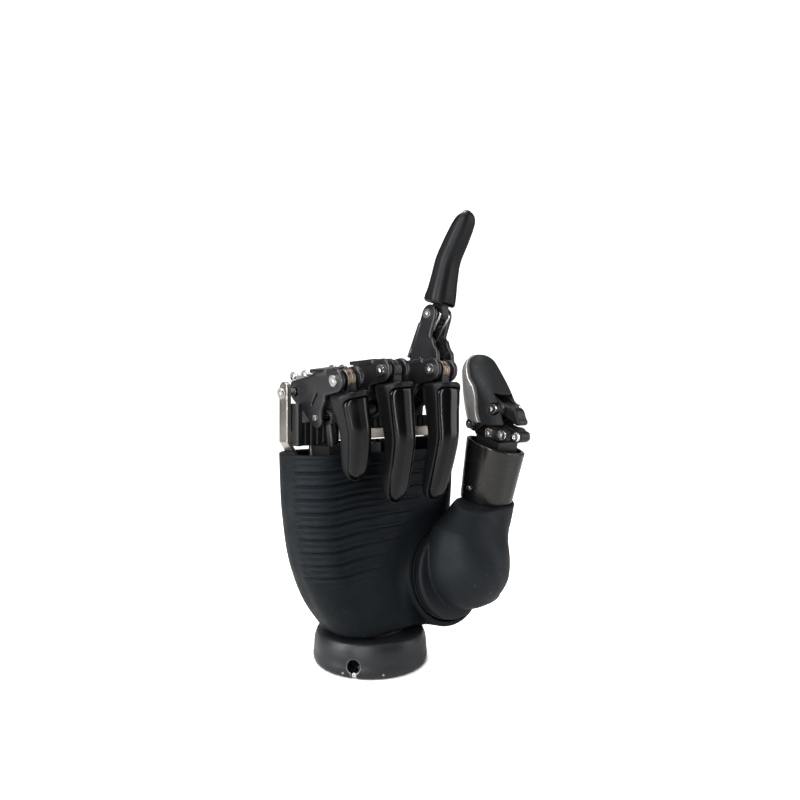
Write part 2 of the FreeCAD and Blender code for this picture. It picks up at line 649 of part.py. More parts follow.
def thumb_nut():
    """Nut that holds the rotor's hub in the seat and sets the turning friction."""
    nut = tube(HUB_R + 4, HUB_R, seat_point(-SEAT_DEPTH + 3.4), seat_point(-ROTOR_SINK - 4.3))
    flats = [block((-30, 30), (HUB_R + 3, 30), (-30, 30)), block((-30, 30), (-30, -HUB_R - 3), (-30, 30))]
    for flat in flats:
        flat.rotate(V(0, 0, 0), V(1, 0, 0), 90 - THUMB_SEAT_TILT)
        flat.translate(V(*THUMB_SEAT))
        nut = nut.cut(flat)
    return nut


def sleeve_frame(shape):
    """Move a shape built on the sleeve's own axis to the sleeve's base."""
    placed = turned(shape, SLEEVE_LEAN)
    placed.translate(V(*SLEEVE_BASE))
    return placed


def thumb_boot():
    """Rubber boot from the rotor to the sleeve: a bulb, its neck, a straight outer side down to a heel, and a collar
    in front of the rotor's face."""
    bulb = Part.makeSphere(BOOT_R, V(*BOOT_CENTRE))
    neck_axis = V(*SLEEVE_BASE) - V(*BOOT_CENTRE)
    neck = Part.makeCone(BOOT_R, SLEEVE_HALF[0] + 0.8, neck_axis.Length, V(*BOOT_CENTRE), neck_axis)
    collar = seat_rod(ROTOR_R - 0.2, 1.05, 5.0)
    front = seat_rod(80, 1.05, 90)
    heel = rod(BOOT_HEEL_R, BOOT_HEEL, SLEEVE_BASE)
    boot = joined([bulb, neck, heel]).common(front)
    boot = joined([boot, collar])
    sleeve_space = sleeve_frame(block((-30, 30), (-30, 30), (-0.05, 60)))
    palm_space = block((-80, 42.0), (-PALM_HALF_DEPTH - 0.8, 40), (53, 90))
    return boot.cut(sleeve_space).cut(palm_space)


def sleeve_body(inset):
    """The sleeve's flared form, shrunk by an inset."""
    wires = []
    for half, z in ((SLEEVE_HALF, 0), (SLEEVE_TOP_HALF, SLEEVE_LENGTH)):
        wires.append(rounded_wire(half[0] - inset, half[1] - inset, SLEEVE_CORNER - inset, V(0, 0, z)))
    return Part.makeLoft(wires, True, True)


def thumb_sleeve():
    """Metal tube with a slanted open top."""
    length = SLEEVE_LENGTH
    bore = sleeve_body(SLEEVE_WALL).common(block((-40, 40), (-40, 40), (2.0, length + 1)))
    sleeve = sleeve_body(0).cut(bore)
    slant = block((-40, 40), (-40, 40), (0, 40))
    slant.rotate(V(0, 0, 0), V(0, 1, 0), 11)
    slant.rotate(V(0, 0, 0), V(1, 0, 0), 7)
    slant.translate(V(0, 0, length - 2.5))
    sleeve = sleeve.cut(slant)
    side = -SLEEVE_HALF[0]
    sleeve = sleeve.cut(rod(SLEEVE_SCREW_R, (side - 1, 0, SLEEVE_SCREW_Z), (side + 3, 0, SLEEVE_SCREW_Z)))
    return sleeve_frame(sleeve)


def sleeve_screw():
    x = -SLEEVE_HALF[0]
    head = rod(SLEEVE_SCREW_R - RUN, (x - 0.5, 0, SLEEVE_SCREW_Z), (x + 1.4, 0, SLEEVE_SCREW_Z))
    socket = rod(0.6, (x - 0.6, 0, SLEEVE_SCREW_Z), (x + 0.3, 0, SLEEVE_SCREW_Z))
    return sleeve_frame(head.cut(socket))


def thumb_motor():
    body = rod(7.0, (0, 0, 2.2), (0, 0, 20))
    return sleeve_frame(joined([body, rod(3.0, (0, 0, 20), (0, 0, 22))]))


def thumb_knuckle():
    """Yoke in the sleeve's mouth: a base block and a central lug that carries the thumb's curl pivot."""
    base = block((-6.5, 6.5), (-7.0, 7.0), (22.2, 30.0))
    base = sleeve_frame(base)
    y, z = THUMB_PIVOT[1:]
    x = (THUMB_PIVOT[0] - THUMB_LUG_HALF_W, THUMB_PIVOT[0] + THUMB_LUG_HALF_W)
    lug = belt((y, z, 3.6), (y - 6.6, z - 8.0, 4.1), x)
    front = belt((*THUMB_LOW_PINS[0], 3.0), (*THUMB_LOW_PINS[1], 3.01), (THUMB_PIVOT[0] - 6.4, THUMB_PIVOT[0] + 6.4))
    knuckle = joined([base, lug, front])
    for pin in THUMB_LOW_PINS:
        knuckle = knuckle.cut(cross_rod(THUMB_LOW_PIN_R, pin, (30, 70)))
    return knuckle.cut(cross_rod(PIN_R + RUN, (y, z), (30, 70)))


def thumb_knuckle_pins():
    pins = []
    for y, z in THUMB_LOW_PINS:
        pin = headed_pin(THUMB_LOW_PIN_R, 6.45)
        pin.translate(V(THUMB_PIVOT[0], y, z))
        pins.append(pin)
    return Part.makeCompound(pins)


def thumb_tip_form():
    """Wedge-shaped thumb tip: deep at the pivot end, narrow at the rounded end."""
    base = V(THUMB_PIVOT[0], (THUMB_PIVOT[1] + THUMB_DRIVE[1]) / 2, (THUMB_PIVOT[2] + THUMB_DRIVE[2]) / 2)
    axis = V(*THUMB_TIP) - base
    lean = -math.degrees(math.atan2(axis.y, axis.z))
    length = axis.Length
    stations = ((-1.0, 1.0, 11.4), (0.25, 1.0, 10.6), (0.5, 0.97, 9.2), (0.72, 0.87, 7.4), (0.88, 0.68, 5.4),
                (0.96, 0.45, 3.4), (1.0, 0.14, 1.0))
    wires = []
    for along, wide, half_y in stations:
        half_x = THUMB_HALF_W * wide
        z = max(along, 0.0) * length + min(along, 0.0) * 2.0
        wires.append(rounded_wire(half_x, half_y, 0.8 * min(half_x, half_y), V(0, 0, z)))
    form = turned(Part.makeLoft(wires, True, False), lean)
    form.translate(base)
    return form


def thumb_parts():
    """Thumb tip: core with the drive pin, hard dorsal shell and soft pad, split along the tip's middle plane."""
    form = thumb_tip_form()
    pivot, drive = THUMB_PIVOT, THUMB_DRIVE
    x0 = pivot[0]
    ear_in, ear_out = THUMB_EAR_X
    ear_ends = [(*pivot[1:], THUMB_EAR_R), (*drive[1:], THUMB_EAR_R), (pivot[1] - 4.0, 118.0, 4.0)]
    ears = [web(ear_ends, (x0 + ear_in, x0 + ear_out)), web(ear_ends, (x0 - ear_out, x0 - ear_in))]
    bridge = cross_rod(THUMB_EAR_R, (pivot[1] - 4.0, 119.0), (x0 - ear_out, x0 + ear_out))
    core = joined(ears + [bridge])
    core = core.cut(cross_rod(PIN_R, pivot[1:], (30, 70))).cut(cross_rod(PIN_R, drive[1:], (30, 70)))
    room_x = (x0 - ear_out - 0.15, x0 + ear_out + 0.15)
    room_r = THUMB_EAR_R + 0.15
    room = web([(*pivot[1:], room_r), (*drive[1:], room_r), (pivot[1] - 4.0, 119.0, 4.15)], room_x)
    mouth = prism([(-60, 90), (0, 90), (0, 106.5), (-22.0, 109.5), (-38.0, 113.6), (-60, 113.6)], room_x)
    low = block((0, 100), (-80, 40), (80, 104.8))
    body = form.cut(room).cut(mouth).cut(low)
    for place in (pivot, drive):
        body = body.cut(cross_rod(SCREW_HEAD_R + 0.25, place[1:], (30, 70)))
    split = [(-60.0, 90.0), (-27.0, 90.0), (-27.0, 107.0), (-16.5, 140.0), (-60.0, 140.0)]
    dorsal_space = prism(split, (0, 100))
    return core, body.common(dorsal_space), body.cut(dorsal_space)


def thumb_tip_pins():
    pins = []
    for place in (THUMB_PIVOT, THUMB_DRIVE):
        pin = headed_pin(PIN_R, 7.6)
        pin.translate(V(*place))
        pins.append(pin)
    return Part.makeCompound(pins)


def thumb_drive_arm():
    """Curved tendon arm that hangs from the drive pin, between the ears, in front of the knuckle."""
    x = (THUMB_PIVOT[0] - THUMB_LUG_HALF_W, THUMB_PIVOT[0] + THUMB_LUG_HALF_W)
    y, z = THUMB_DRIVE[1:]
    arm = belt((y, z, 3.0), (y - 7.0, z - 2.5, 2.2), x)
    tail = belt((y - 7.0, z - 2.5, 2.2), (y - 9.6, z - 10.0, 1.6), x)
    return joined([arm, tail]).cut(cross_rod(PIN_R, (y, z), (30, 70)))


def thumb():
    core, shell, pad = thumb_parts()
    return {
        "thumb_rotor": thumb_rotor(),
        "thumb_bearing": thumb_bearing(),
        "thumb_nut": thumb_nut(),
        "thumb_boot": thumb_boot(),
        "thumb_sleeve": thumb_sleeve(),
        "thumb_sleeve_screw": sleeve_screw(),
        "thumb_motor": thumb_motor(),
        "thumb_knuckle": thumb_knuckle(),
        "thumb_knuckle_pins": thumb_knuckle_pins(),
        "thumb_tip_core": core,
        "thumb_tip_pins": thumb_tip_pins(),
        "thumb_tip_shell": shell,
        "thumb_tip_pad": pad,
        "thumb_drive_arm": thumb_drive_arm(),
    }


# Assembly -----------------------------------------------------------------------------------------------------

def hand():
    shell = palm_shell()
    parts = {
        "wrist_ring": wrist_ring(),
        "wrist_lock_screw": lock_screw(),
        "wrist_bearing": wrist_bearing(),
        "wrist_stub": wrist_stub(),
        "retaining_clip": retaining_clip(),
        "chassis": chassis(),
        "knuckle_block": knuckle_block(),
        "knuckle_pins": knuckle_pins(),
        "palm_cover": palm_cover(shell),
        "back_cover": back_cover(shell),
        "cover_screws": cover_screws(),
        "finger_actuators": finger_actuators(),
        "actuator_motors": actuator_motors(),
        "control_board": control_board(),
    }
    for name in FINGERS:
        parts.update(finger(name))
    parts.update(thumb())
    return parts


os.makedirs("parts", exist_ok=True)
for part_name, part_shape in hand().items():
    write(part_name, part_shape)
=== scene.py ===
"""Looks of the right-hand prosthetic hand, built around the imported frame.

The covers, wrist ring, guards, boot, sleeve, finger segments and thumb tip are surfaces of distance fields.
Each field(x, y, z) is in millimetres and negative inside. Palm, ring, guards, boot, tendon arm and yoke are
drawn on the hand's own axes. The other pieces have a local frame: x along their pins, y towards the back of
the hand, z along the piece. The remaining nodes keep their CAD meshes, with softened edges and materials.
"""
import json
import math

import bpy
import numpy as np
from mathutils import Matrix, Vector


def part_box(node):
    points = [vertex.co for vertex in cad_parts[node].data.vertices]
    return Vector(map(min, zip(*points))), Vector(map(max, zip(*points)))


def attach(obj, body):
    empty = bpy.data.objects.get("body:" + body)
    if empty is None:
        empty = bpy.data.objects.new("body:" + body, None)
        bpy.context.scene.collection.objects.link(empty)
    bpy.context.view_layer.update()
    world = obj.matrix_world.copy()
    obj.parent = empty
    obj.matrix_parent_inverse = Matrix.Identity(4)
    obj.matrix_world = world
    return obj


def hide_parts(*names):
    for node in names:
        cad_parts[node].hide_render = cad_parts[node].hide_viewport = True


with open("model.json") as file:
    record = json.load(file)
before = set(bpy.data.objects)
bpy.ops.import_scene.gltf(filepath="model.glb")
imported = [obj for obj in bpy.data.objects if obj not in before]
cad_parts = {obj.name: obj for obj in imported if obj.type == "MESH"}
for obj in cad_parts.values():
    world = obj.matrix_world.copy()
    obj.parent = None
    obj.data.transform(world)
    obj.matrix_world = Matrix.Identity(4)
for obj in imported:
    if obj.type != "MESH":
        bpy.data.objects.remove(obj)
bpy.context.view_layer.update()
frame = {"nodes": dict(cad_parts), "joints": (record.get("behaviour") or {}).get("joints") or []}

# Driving sizes --------------------------------
# Millimetres and degrees, except for the lights and the stage, which are in metres.

MM = 0.001
FINE = 1.0  # grid coarsening while trying things

PALM_Z = (15.0, 27.0, 44.0, 66.0, 93.0)
PALM_HALF_WIDTHS = (21.0, 29.8, 37.2, 41.3, 42.8)
PALM_HALF_DEPTH = 17.0
PALM_CORNER = 14.0
PALM_WALL = 1.8
PALM_FLOOR = 4.0
PALM_THINNING = 0.03  # share of its depth that the palm loses towards the wrist, over the next z range
PALM_THINNING_Z = (9.0, 33.0)
PALM_PART_Y = 8.05  # where the back cover meets the palm cover
PALM_PART_GAP = 0.12  # half the seam between them
COVER_SCREW_X = 22.0
COVER_SCREW_Z = (46.0, 84.0)
COVER_PIT_R = 2.5
COVER_PIT_Y = 16.1

RING_HEIGHTS = (0.0, 1.2, 6.0, 9.5, 12.0, 13.5, 14.4)  # the ring's outer radius at these heights
RING_RADII = (24.3, 25.0, 25.0, 24.8, 24.2, 23.4, 22.4)
RING_BASE = 0.02
RING_TOP = 14.0
RING_BORE_R = 15.05
SOCKET_R = 19.0
SOCKET_DEPTH = 8.0
KEYHOLE_R = 2.8
KEYHOLE_Z = 5.15
KEYHOLE_AZIMUTH = 54.0
SLOT_HALF_W = 1.0

RIB_PITCH = 5.45
RIB_FIRST_Z = 42.1
RIB_DEPTH = 0.8
RIB_WIDTH = 0.55
RIB_RISE = 2.2  # the ribs climb this much over the next x range, towards the middle of the palm
RIB_RISE_X = (-41.0, -16.0)
RIB_TURN_X = (-30.0, -2.0)  # x range over which the grooves turn into ridges
RIB_GROOVE_LOSS = 0.45  # share of its depth that a groove loses there
RIDGE_HEIGHT = 0.18
RIDGE_GROWTH = 0.5
RIDGE_ABOVE = 1.15  # from a groove's middle up to its ridge's middle
RIDGE_WIDTH = 0.85
FAINT_SHARE = 0.34  # depth of the shallow grooves half way between the others
FAINT_X = (-36.0, -16.0)
RIB_FADE_Y = (-2.4, -5.2)  # the ribs fade in from the first of each pair to the second
RIB_FADE_END = (1.2, -1.6)
RIB_FADE_FIRST = (-2.6, -1.4)
RIB_FADE_TOP = (-0.8, -3.0)
RIB_END_LOW = (-10.7, 41.0)  # x and z of the slanted line where the ribs end
RIB_END_HIGH = (12.3, 70.0)

GUARDS = {  # x, y and z ranges of the ribbed black bars around the rail
    "knuckle_guard": ((-38.5, -17.5), (-1.4, 1.5), (96.0, 105.5)),
    "side_guard": ((-39.7, -36.9), (-2.5, 4.0), (96.0, 113.5)),
    "lower_guard": ((-17.0, 38.0), (-0.2, 1.5), (90.5, 97.2)),
    "upper_guard": ((-17.0, 37.0), (-0.6, 1.5), (102.3, 107.3)),
}
GUARD_PITCH = 3.0  # of the grooves across a bar
GUARD_GROOVE = (0.45, 0.7)  # half width and depth
GUARD_POST = (-30.0, 0.4)
GUARD_POST_R = 1.9
GUARD_POST_Z = (90.0, 96.4)

SEAT_TILT = 10.0
SEAT_R = 23.0
SEAT_BORE_R = 20.6
SEAT_BORE_DEPTH = 5.0
SEAT_DEPTH = 17.0
LIP_R = 1.5

BOOT_CENTRE = (33.5, -26.0, 42.0)
BOOT_R = 19.0
BOOT_HEEL = (38.8, -25.0, 27.0)
BOOT_HEEL_R = 12.5
BOOT_SHOULDER = ((38.5, -27.0, 67.0), (28.5, -27.0, 52.0))
BOOT_SHOULDER_R = (8.5, 13.0)
BOOT_FLANGE_R = 19.8
BOOT_FLANGE = (1.05, 5.2)  # heights of its faces above the seat's rim
BOOT_CUFF = 0.9
BOOT_CUFF_DEPTH = 9.0
BOOT_CLEAR_X = 42.0  # the boot stands clear of the palm up to here, over the next z range
BOOT_CLEAR_Z = (53.0, 90.0)
BOOT_CLEAR_GAP = 0.9
BOOT_NECK_OVER = 0.6  # the neck's radius over the sleeve's half depth
SLEEVE_BASE = (51.0, -22.6, 68.0)
SLEEVE_LEAN = 13.5
SLEEVE_HALF = (12.3, 10.8)
SLEEVE_TOP_HALF = (13.6, 12.0)
SLEEVE_CORNER = 10.4
SLEEVE_SLANT = (6.5, 3.5)  # of the mouth, sideways and fore-and-aft
SLEEVE_FIT = 0.1  # clearance in the boot
SLEEVE_WALL = 1.6
SLEEVE_LENGTH = 29.0
SLEEVE_DROP = 2.2  # from the full length down to the middle of the mouth
SLEEVE_FLOOR = 2.0
SLEEVE_SCREW_Z = 7.0
SLEEVE_SCREW_R = 1.75

FINGER_HALF_W = 7.2
CHEEK_OUT = 5.6
CHEEK_IN = 3.6
TONGUE_HALF_W = 2.0
TIP_BASE = 5.6
TIP_BEND = 0.34
TIP_BEND_AT = 0.45
TIP_BEND_SPAN = 0.14
FINGERS = {  # proximal length, fingertip length, fingertip half thickness, lean of its middle line
    "index": (36.0, 50.5, 6.6, 0.11),
    "middle": (38.5, 54.5, 7.4, 0.06),
    "ring": (34.5, 54.5, 7.4, 0.06),
    "little": (30.0, 41.0, 7.2, 0.06),
}
DRIVE_R = 17.0  # from the knuckle's pin to the drive pin
DRIVE_ANGLE = -42.0
BOSS_R = 4.6
DRIVE_BOSS_R = 4.3
BORE_R = (2.0, 1.55, 1.4)  # around the knuckle's pin, the fingertip's pin and the drive pin
STRAP_Z = (13.3, 5.4)  # past the knuckle's pin and short of the fingertip's pin
STRAP_Y = (5.5, 7.1)
STRAP_FALL = 1.5
STRAP_FALL_Z = (13.5, 7.0)
FOLD_ROOM = (4.9, 9.8)  # palm-side clearance for the folded fingertip: depth and length
SCOOP = (15.5, 6.0, 9.0)  # depth, distance from the fingertip's pin and radius of the palm-side scoop
SLIT_ENDS = ((5.6, -0.6, 0.35), (9.0, 4.4, 0.75))  # y and z from the drive pin, and radius
SLIT_FLOOR = 0.9

TIP_END_R = 5.2  # how far before its end the fingertip's round end is centred
TIP_CAP_SLOPE = 0.3
TIP_CAP_CURVE = 0.05
PANEL_INSET = 0.5  # from the fingertip's side
PANEL_WAIST = 0.6  # further inset at the base
PANEL_START = 2.2
PANEL_END = 1.3
PANEL_END_CURVE = 0.055
PANEL_GAP = 0.32
PANEL_POCKET = 3.4  # depth of the housing's recess below the panel's back
PANEL_DEPTH = 4.2
PANEL_FLAT = 0.46  # share of the half width before the bevel starts
PANEL_BEVEL = 0.9
PANEL_BEVEL_SCALE = 0.743  # turns the bevel's height back into a distance
DARK_BARREL = "ring"
BARREL_R = 3.95
BARREL_BORE_R = 3.35
BARREL_GROOVE_R = 3.7
BARREL_GROOVE_HALF_W = 0.3

THUMB_DRIVE = (51.0, -34.0, 110.6)
THUMB_TIP = (51.0, -16.5, 135.6)
THUMB_HALF_W = 8.8
THUMB_CAP_CURVE = (0.05, 0.03)
MOUTH_HALF_W = 5.8  # opening at the thumb tip's base
MOUTH_Z = (106.5, 104.8)  # height of its edge at MOUTH_Y, and the lowest it gets
MOUTH_Y = -20.0
MOUTH_SLOPE = 0.25
MOUTH_PIN_R = 2.7
SHELL_BASE_Z = 104.9
PAD_BASE_Z = 103.3
KNUCKLE_ROOM = (13.5, -2.0, 14.0)  # radius, middle and end of the hollow over the knuckle
SEAM_Y = 1.4  # between the thumb's back shell and its grip pad
SEAM_STEP = 1.6
SEAM_STEP_Z = (14.0, 20.0)
SEAM_DIP = 2.6
SEAM_DIP_Z = (0.0, 12.0)
SEAM_HALF_GAP = 0.35
SHELL_RAISE = 0.6
ARM_ENDS = ((-34.0, 110.6, 3.0), (-40.4, 108.4, 2.2), (-43.4, 104.8, 1.5))  # y, z and radius along the arm
ARM_HALF_W = 3.3
ARM_BORE_R = 1.6
YOKE_ENDS = ((-26.5, 100.5, 3.2), (-43.5, 98.4, 2.6), (-31.0, 103.0, 2.4))
YOKE_HALF_W = 3.3
YOKE_SCREW_R = 2.1
YOKE_SCREW_T = 1.2
YOKE_SOCKET_R = 0.9
YOKE_SOCKET_DEPTH = 0.7

WELD_DISTANCE = 0.002
EDGE_SOFTENING = 0.22
EDGE_ANGLE = 38.0

CAMERA_DISTANCE = 300.0
CAMERA_TURN = 38.0
CAMERA_HEIGHT = 118.8
CAMERA_LENS = 30.19
CAMERA_SHIFT = (0.0374, -0.0116)
LIGHTS = {  # heading from the camera's side, height, distance, width and length in metres, power
    "soft_left": (-64.0, 0.36, 0.70, (0.18, 0.8), 8.5),
    "soft_right": (86.0, 0.30, 0.80, (0.2, 0.7), 2.6),
    "soft_top": (180.0, 1.1, 0.10, (0.8, 0.8), 7.5),
    "strip_left": (-17.0, 0.32, 0.70, (0.045, 0.8), 6.0),
}
LIGHT_AIM_Z = 0.1
STAGE_HALF_WIDTH = 3.0
STAGE_Y = (-3.0, 1.6)
STAGE_HEIGHT = 2.6
STAGE_CORNER = 0.5
STAGE_STEPS = 12
STAGE_BELOW = 0.0002  # the floor lies this much under the ring
STAGE_SHADE = 0.9
STAGE_GLOW = 0.85
WORLD_LIGHT = 0.08
DARK_INSIDE_RING = (0.0245, 0.0265)  # the floor does not glow inside the wrist ring


# Frame lookups --------------------------------

def joint(name):
    return next(j for j in frame["joints"] if j["name"] == name)


def joint_place(name):
    """A joint's position in millimetres."""
    return np.array(joint(name)["pos_m"]) / MM


PALM_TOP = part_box("palm_cover")[1].z / MM
SEAT_CENTRE = joint_place("thumb_swing")
THUMB_PIVOT = joint_place("thumb_curl")


# Field helpers --------------------------------
# The last argument of soft_max, soft_min, cut and plate is the softness of the edge they make. A factor just
# under 1 on a field makes up for a slope that is steeper than a distance's.

def soft_max(a, b, blend):
    """The larger field, with a rounded crossing."""
    share = np.clip(0.5 - 0.5 * (b - a) / blend, 0.0, 1.0)
    return b + (a - b) * share + blend * share * (1.0 - share)


def soft_min(a, b, blend):
    return -soft_max(-a, -b, blend)


def cut(body, tool, blend):
    """Body without the tool, with the edge softened."""
    return soft_max(body, -tool, blend)


def ease(value, start, end):
    """Smooth step from 0 at start to 1 at end."""
    t = np.clip((value - start) / (end - start), 0.0, 1.0)
    return t * t * (3.0 - 2.0 * t)


def through(places, values):
    """Smooth curve through a few points, as a function."""
    places = np.array(places, float)
    values = np.array(values, float)
    slopes = np.gradient(values, places)

    def curve(t):
        t = np.clip(t, places[0], places[-1])
        i = np.clip(np.searchsorted(places, t) - 1, 0, len(places) - 2)
        span = places[i + 1] - places[i]
        u = (t - places[i]) / span
        rise = (3.0 - 2.0 * u) * u * u
        ease_in = u * (1.0 - u) ** 2
        ease_out = -u * u * (1.0 - u)
        bump = (ease_in * slopes[i] + ease_out * slopes[i + 1]) * span
        return values[i] + (values[i + 1] - values[i]) * rise + bump

    return curve


def rounded_box(x, y, half_x, half_y, corner):
    """Distance to a rounded rectangle."""
    qx = np.abs(x) - half_x + corner
    qy = np.abs(y) - half_y + corner
    outside = np.hypot(np.maximum(qx, 0.0), np.maximum(qy, 0.0))
    return outside + np.minimum(np.maximum(qx, qy), 0.0) - corner


def slab(value, low, high):
    return np.maximum(low - value, value - high)


def round_cone(x, y, z, start, end, start_r, end_r):
    """Distance to a rod with round ends whose radius changes evenly."""
    a = np.array(start, float)
    b = np.array(end, float)
    axis = b - a
    t = ((x - a[0]) * axis[0] + (y - a[1]) * axis[1] + (z - a[2]) * axis[2]) / axis.dot(axis)
    t = np.clip(t, 0.0, 1.0)
    dx, dy, dz = x - a[0] - t * axis[0], y - a[1] - t * axis[1], z - a[2] - t * axis[2]
    gap = np.sqrt(dx ** 2 + dy ** 2 + dz ** 2)
    return gap - (start_r + (end_r - start_r) * t)


def belt(y, z, first, second):
    """Distance to the outline around two circles, each (y, z, radius)."""
    return round_cone(0.0, y, z, (0.0, *first[:2]), (0.0, *second[:2]), first[2], second[2])


def triangle(y, z, corners):
    """Distance to a triangle, exact enough near its sides."""
    area = 0.0
    for i in range(3):
        (y1, z1), (y2, z2) = corners[i], corners[(i + 1) % 3]
        area += y1 * z2 - y2 * z1
    turn = 1.0 if area > 0 else -1.0
    sides = []
    for i in range(3):
        (y1, z1), (y2, z2) = corners[i], corners[(i + 1) % 3]
        length = math.hypot(y2 - y1, z2 - z1)
        sides.append(turn * ((y - y1) * (z2 - z1) - (z - z1) * (y2 - y1)) / length)
    return np.maximum(np.maximum(sides[0], sides[1]), sides[2])


def web(y, z, ends):
    """Distance to a plate's outline that wraps three circles."""
    shape = triangle(y, z, [end[:2] for end in ends])
    for i in range(3):
        shape = np.minimum(shape, belt(y, z, ends[i], ends[(i + 1) % 3]))
    return shape


def plate(outline, thickness, rounding):
    """Rounded plate from its outline's distance and its thickness' distance."""
    a = outline + rounding
    b = thickness + rounding
    outside = np.hypot(np.maximum(a, 0.0), np.maximum(b, 0.0))
    return outside + np.minimum(np.maximum(a, b), 0.0) - rounding


# Surface building -----------------------------

CORNERS = np.array([(i & 1, i >> 1 & 1, i >> 2 & 1) for i in range(8)])
EDGES = [(i, i | bit) for i in range(8) for bit in (1, 2, 4) if not i & bit]
BLOCK = 16  # grid cells per side of a block that is skipped when the surface is far from it


def sampled(field, low, counts, step):
    """Field values on a grid. Blocks far from the surface keep their middle's value."""
    values = np.empty(counts)
    reach = 0.5 * BLOCK * step * math.sqrt(3.0) * 1.4
    starts = [range(0, n, BLOCK) for n in counts]
    middles = [np.array([s + BLOCK / 2 for s in starts[i]]) * step + low[i] for i in range(3)]
    coarse = field(*np.meshgrid(*middles, indexing="ij"))
    for (i, j, k), value in np.ndenumerate(coarse):
        part = tuple(slice(n * BLOCK, min(n * BLOCK + BLOCK, counts[a])) for a, n in enumerate((i, j, k)))
        if abs(value) > reach:
            values[part] = value
            continue
        axes = [np.arange(part[a].start, part[a].stop) * step + low[a] for a in range(3)]
        values[part] = field(*np.meshgrid(*axes, indexing="ij"))
    return values


def settled(field, points, step):
    """Points moved onto the surface along the field's slope."""
    h = 0.15 * step
    start = points.copy()
    for _ in range(3):
        value = field(*points.T)
        slope = np.empty_like(points)
        for axis in range(3):
            shift = np.zeros(3)
            shift[axis] = h
            slope[:, axis] = (field(*(points + shift).T) - field(*(points - shift).T)) / (2 * h)
        size = np.maximum((slope ** 2).sum(1), 0.05)
        points = points - slope * (value / size)[:, None]
        points = start + np.clip(points - start, -0.6 * step, 0.6 * step)
    return points


def surface(field, low, high, step):
    """Points and quads of the field's zero surface: one point in each grid cell that it crosses."""
    step *= FINE
    low = np.array(low, float)
    counts = tuple(int(math.ceil((b - a) / step)) + 2 for a, b in zip(low, high))
    values = sampled(field, low, counts, step)
    inside = values < 0
    cells = tuple(n - 1 for n in counts)
    held = np.zeros(cells, np.uint8)
    for dx, dy, dz in CORNERS:
        held += inside[dx:dx + cells[0], dy:dy + cells[1], dz:dz + cells[2]]
    mixed = (held > 0) & (held < 8)
    number = np.full(cells, -1, np.int64)
    number[mixed] = np.arange(mixed.sum())
    cell = np.argwhere(mixed)
    corner_values = np.stack([values[tuple((cell + c).T)] for c in CORNERS], 1)
    total = np.zeros((len(cell), 3))
    hits = np.zeros(len(cell))
    for a, b in EDGES:
        va, vb = corner_values[:, a], corner_values[:, b]
        crossed = (va < 0) != (vb < 0)
        t = np.where(crossed, va / np.where(crossed, va - vb, 1.0), 0.0)
        total += crossed[:, None] * (CORNERS[a] + (CORNERS[b] - CORNERS[a]) * t[:, None])
        hits += crossed
    points = low + step * (cell + total / hits[:, None])
    quads = []
    for axis in range(3):
        u, v = (axis + 1) % 3, (axis + 2) % 3
        first = [slice(None)] * 3
        second = [slice(None)] * 3
        first[axis], second[axis] = slice(0, -1), slice(1, None)
        change = inside[tuple(first)].astype(np.int8) - inside[tuple(second)].astype(np.int8)
        edge = np.argwhere(change != 0)
        edge = edge[(edge[:, u] > 0) & (edge[:, v] > 0) & (edge[:, u] < cells[u]) & (edge[:, v] < cells[v])]
        around = []
        for du, dv in ((-1, -1), (0, -1), (0, 0), (-1, 0)):
            near = edge.copy()
            near[:, u] += du
            near[:, v] += dv
            around.append(number[tuple(near.T)])
        ring = np.stack(around, 1)
        outward = change[tuple(edge.T)] > 0
        ring[~outward] = ring[~outward][:, ::-1]
        quads.append(ring)
    return settled(field, points, step), np.concatenate(quads)


class Place:
    """A local frame: origin in metres and axes as the columns of a rotation."""

    def __init__(self, origin=(0.0, 0.0, 0.0), axes=None):
        self.origin = np.array(origin, float)
        self.axes = np.eye(3) if axes is None else np.array(axes, float)

    def world(self, points):
        return points @ self.axes.T * MM + self.origin


HERE = Place()


def shape(name, body, field, low, high, step, finish, slot, stands_for=None, place=HERE):
    """One finished piece from a field, looked for between two corners on a grid of this step."""
    points, quads = surface(field, low, high, step)
    mesh = bpy.data.meshes.new(name)
    mesh.vertices.add(len(points))
    mesh.vertices.foreach_set("co", place.world(points).astype(np.float32).ravel())
    mesh.loops.add(quads.size)
    mesh.loops.foreach_set("vertex_index", quads.astype(np.int32).ravel())
    mesh.polygons.add(len(quads))
    mesh.polygons.foreach_set("loop_start", np.arange(0, quads.size, 4, dtype=np.int32))
    mesh.update(calc_edges=True)
    mesh.validate()
    mesh.shade_smooth()
    piece = bpy.data.objects.new(name, mesh)
    bpy.context.scene.collection.objects.link(piece)
    mesh.materials.append(MATERIALS[finish])
    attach(piece, body)
    if stands_for:
        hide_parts(stands_for)


# Materials ------------------------------------

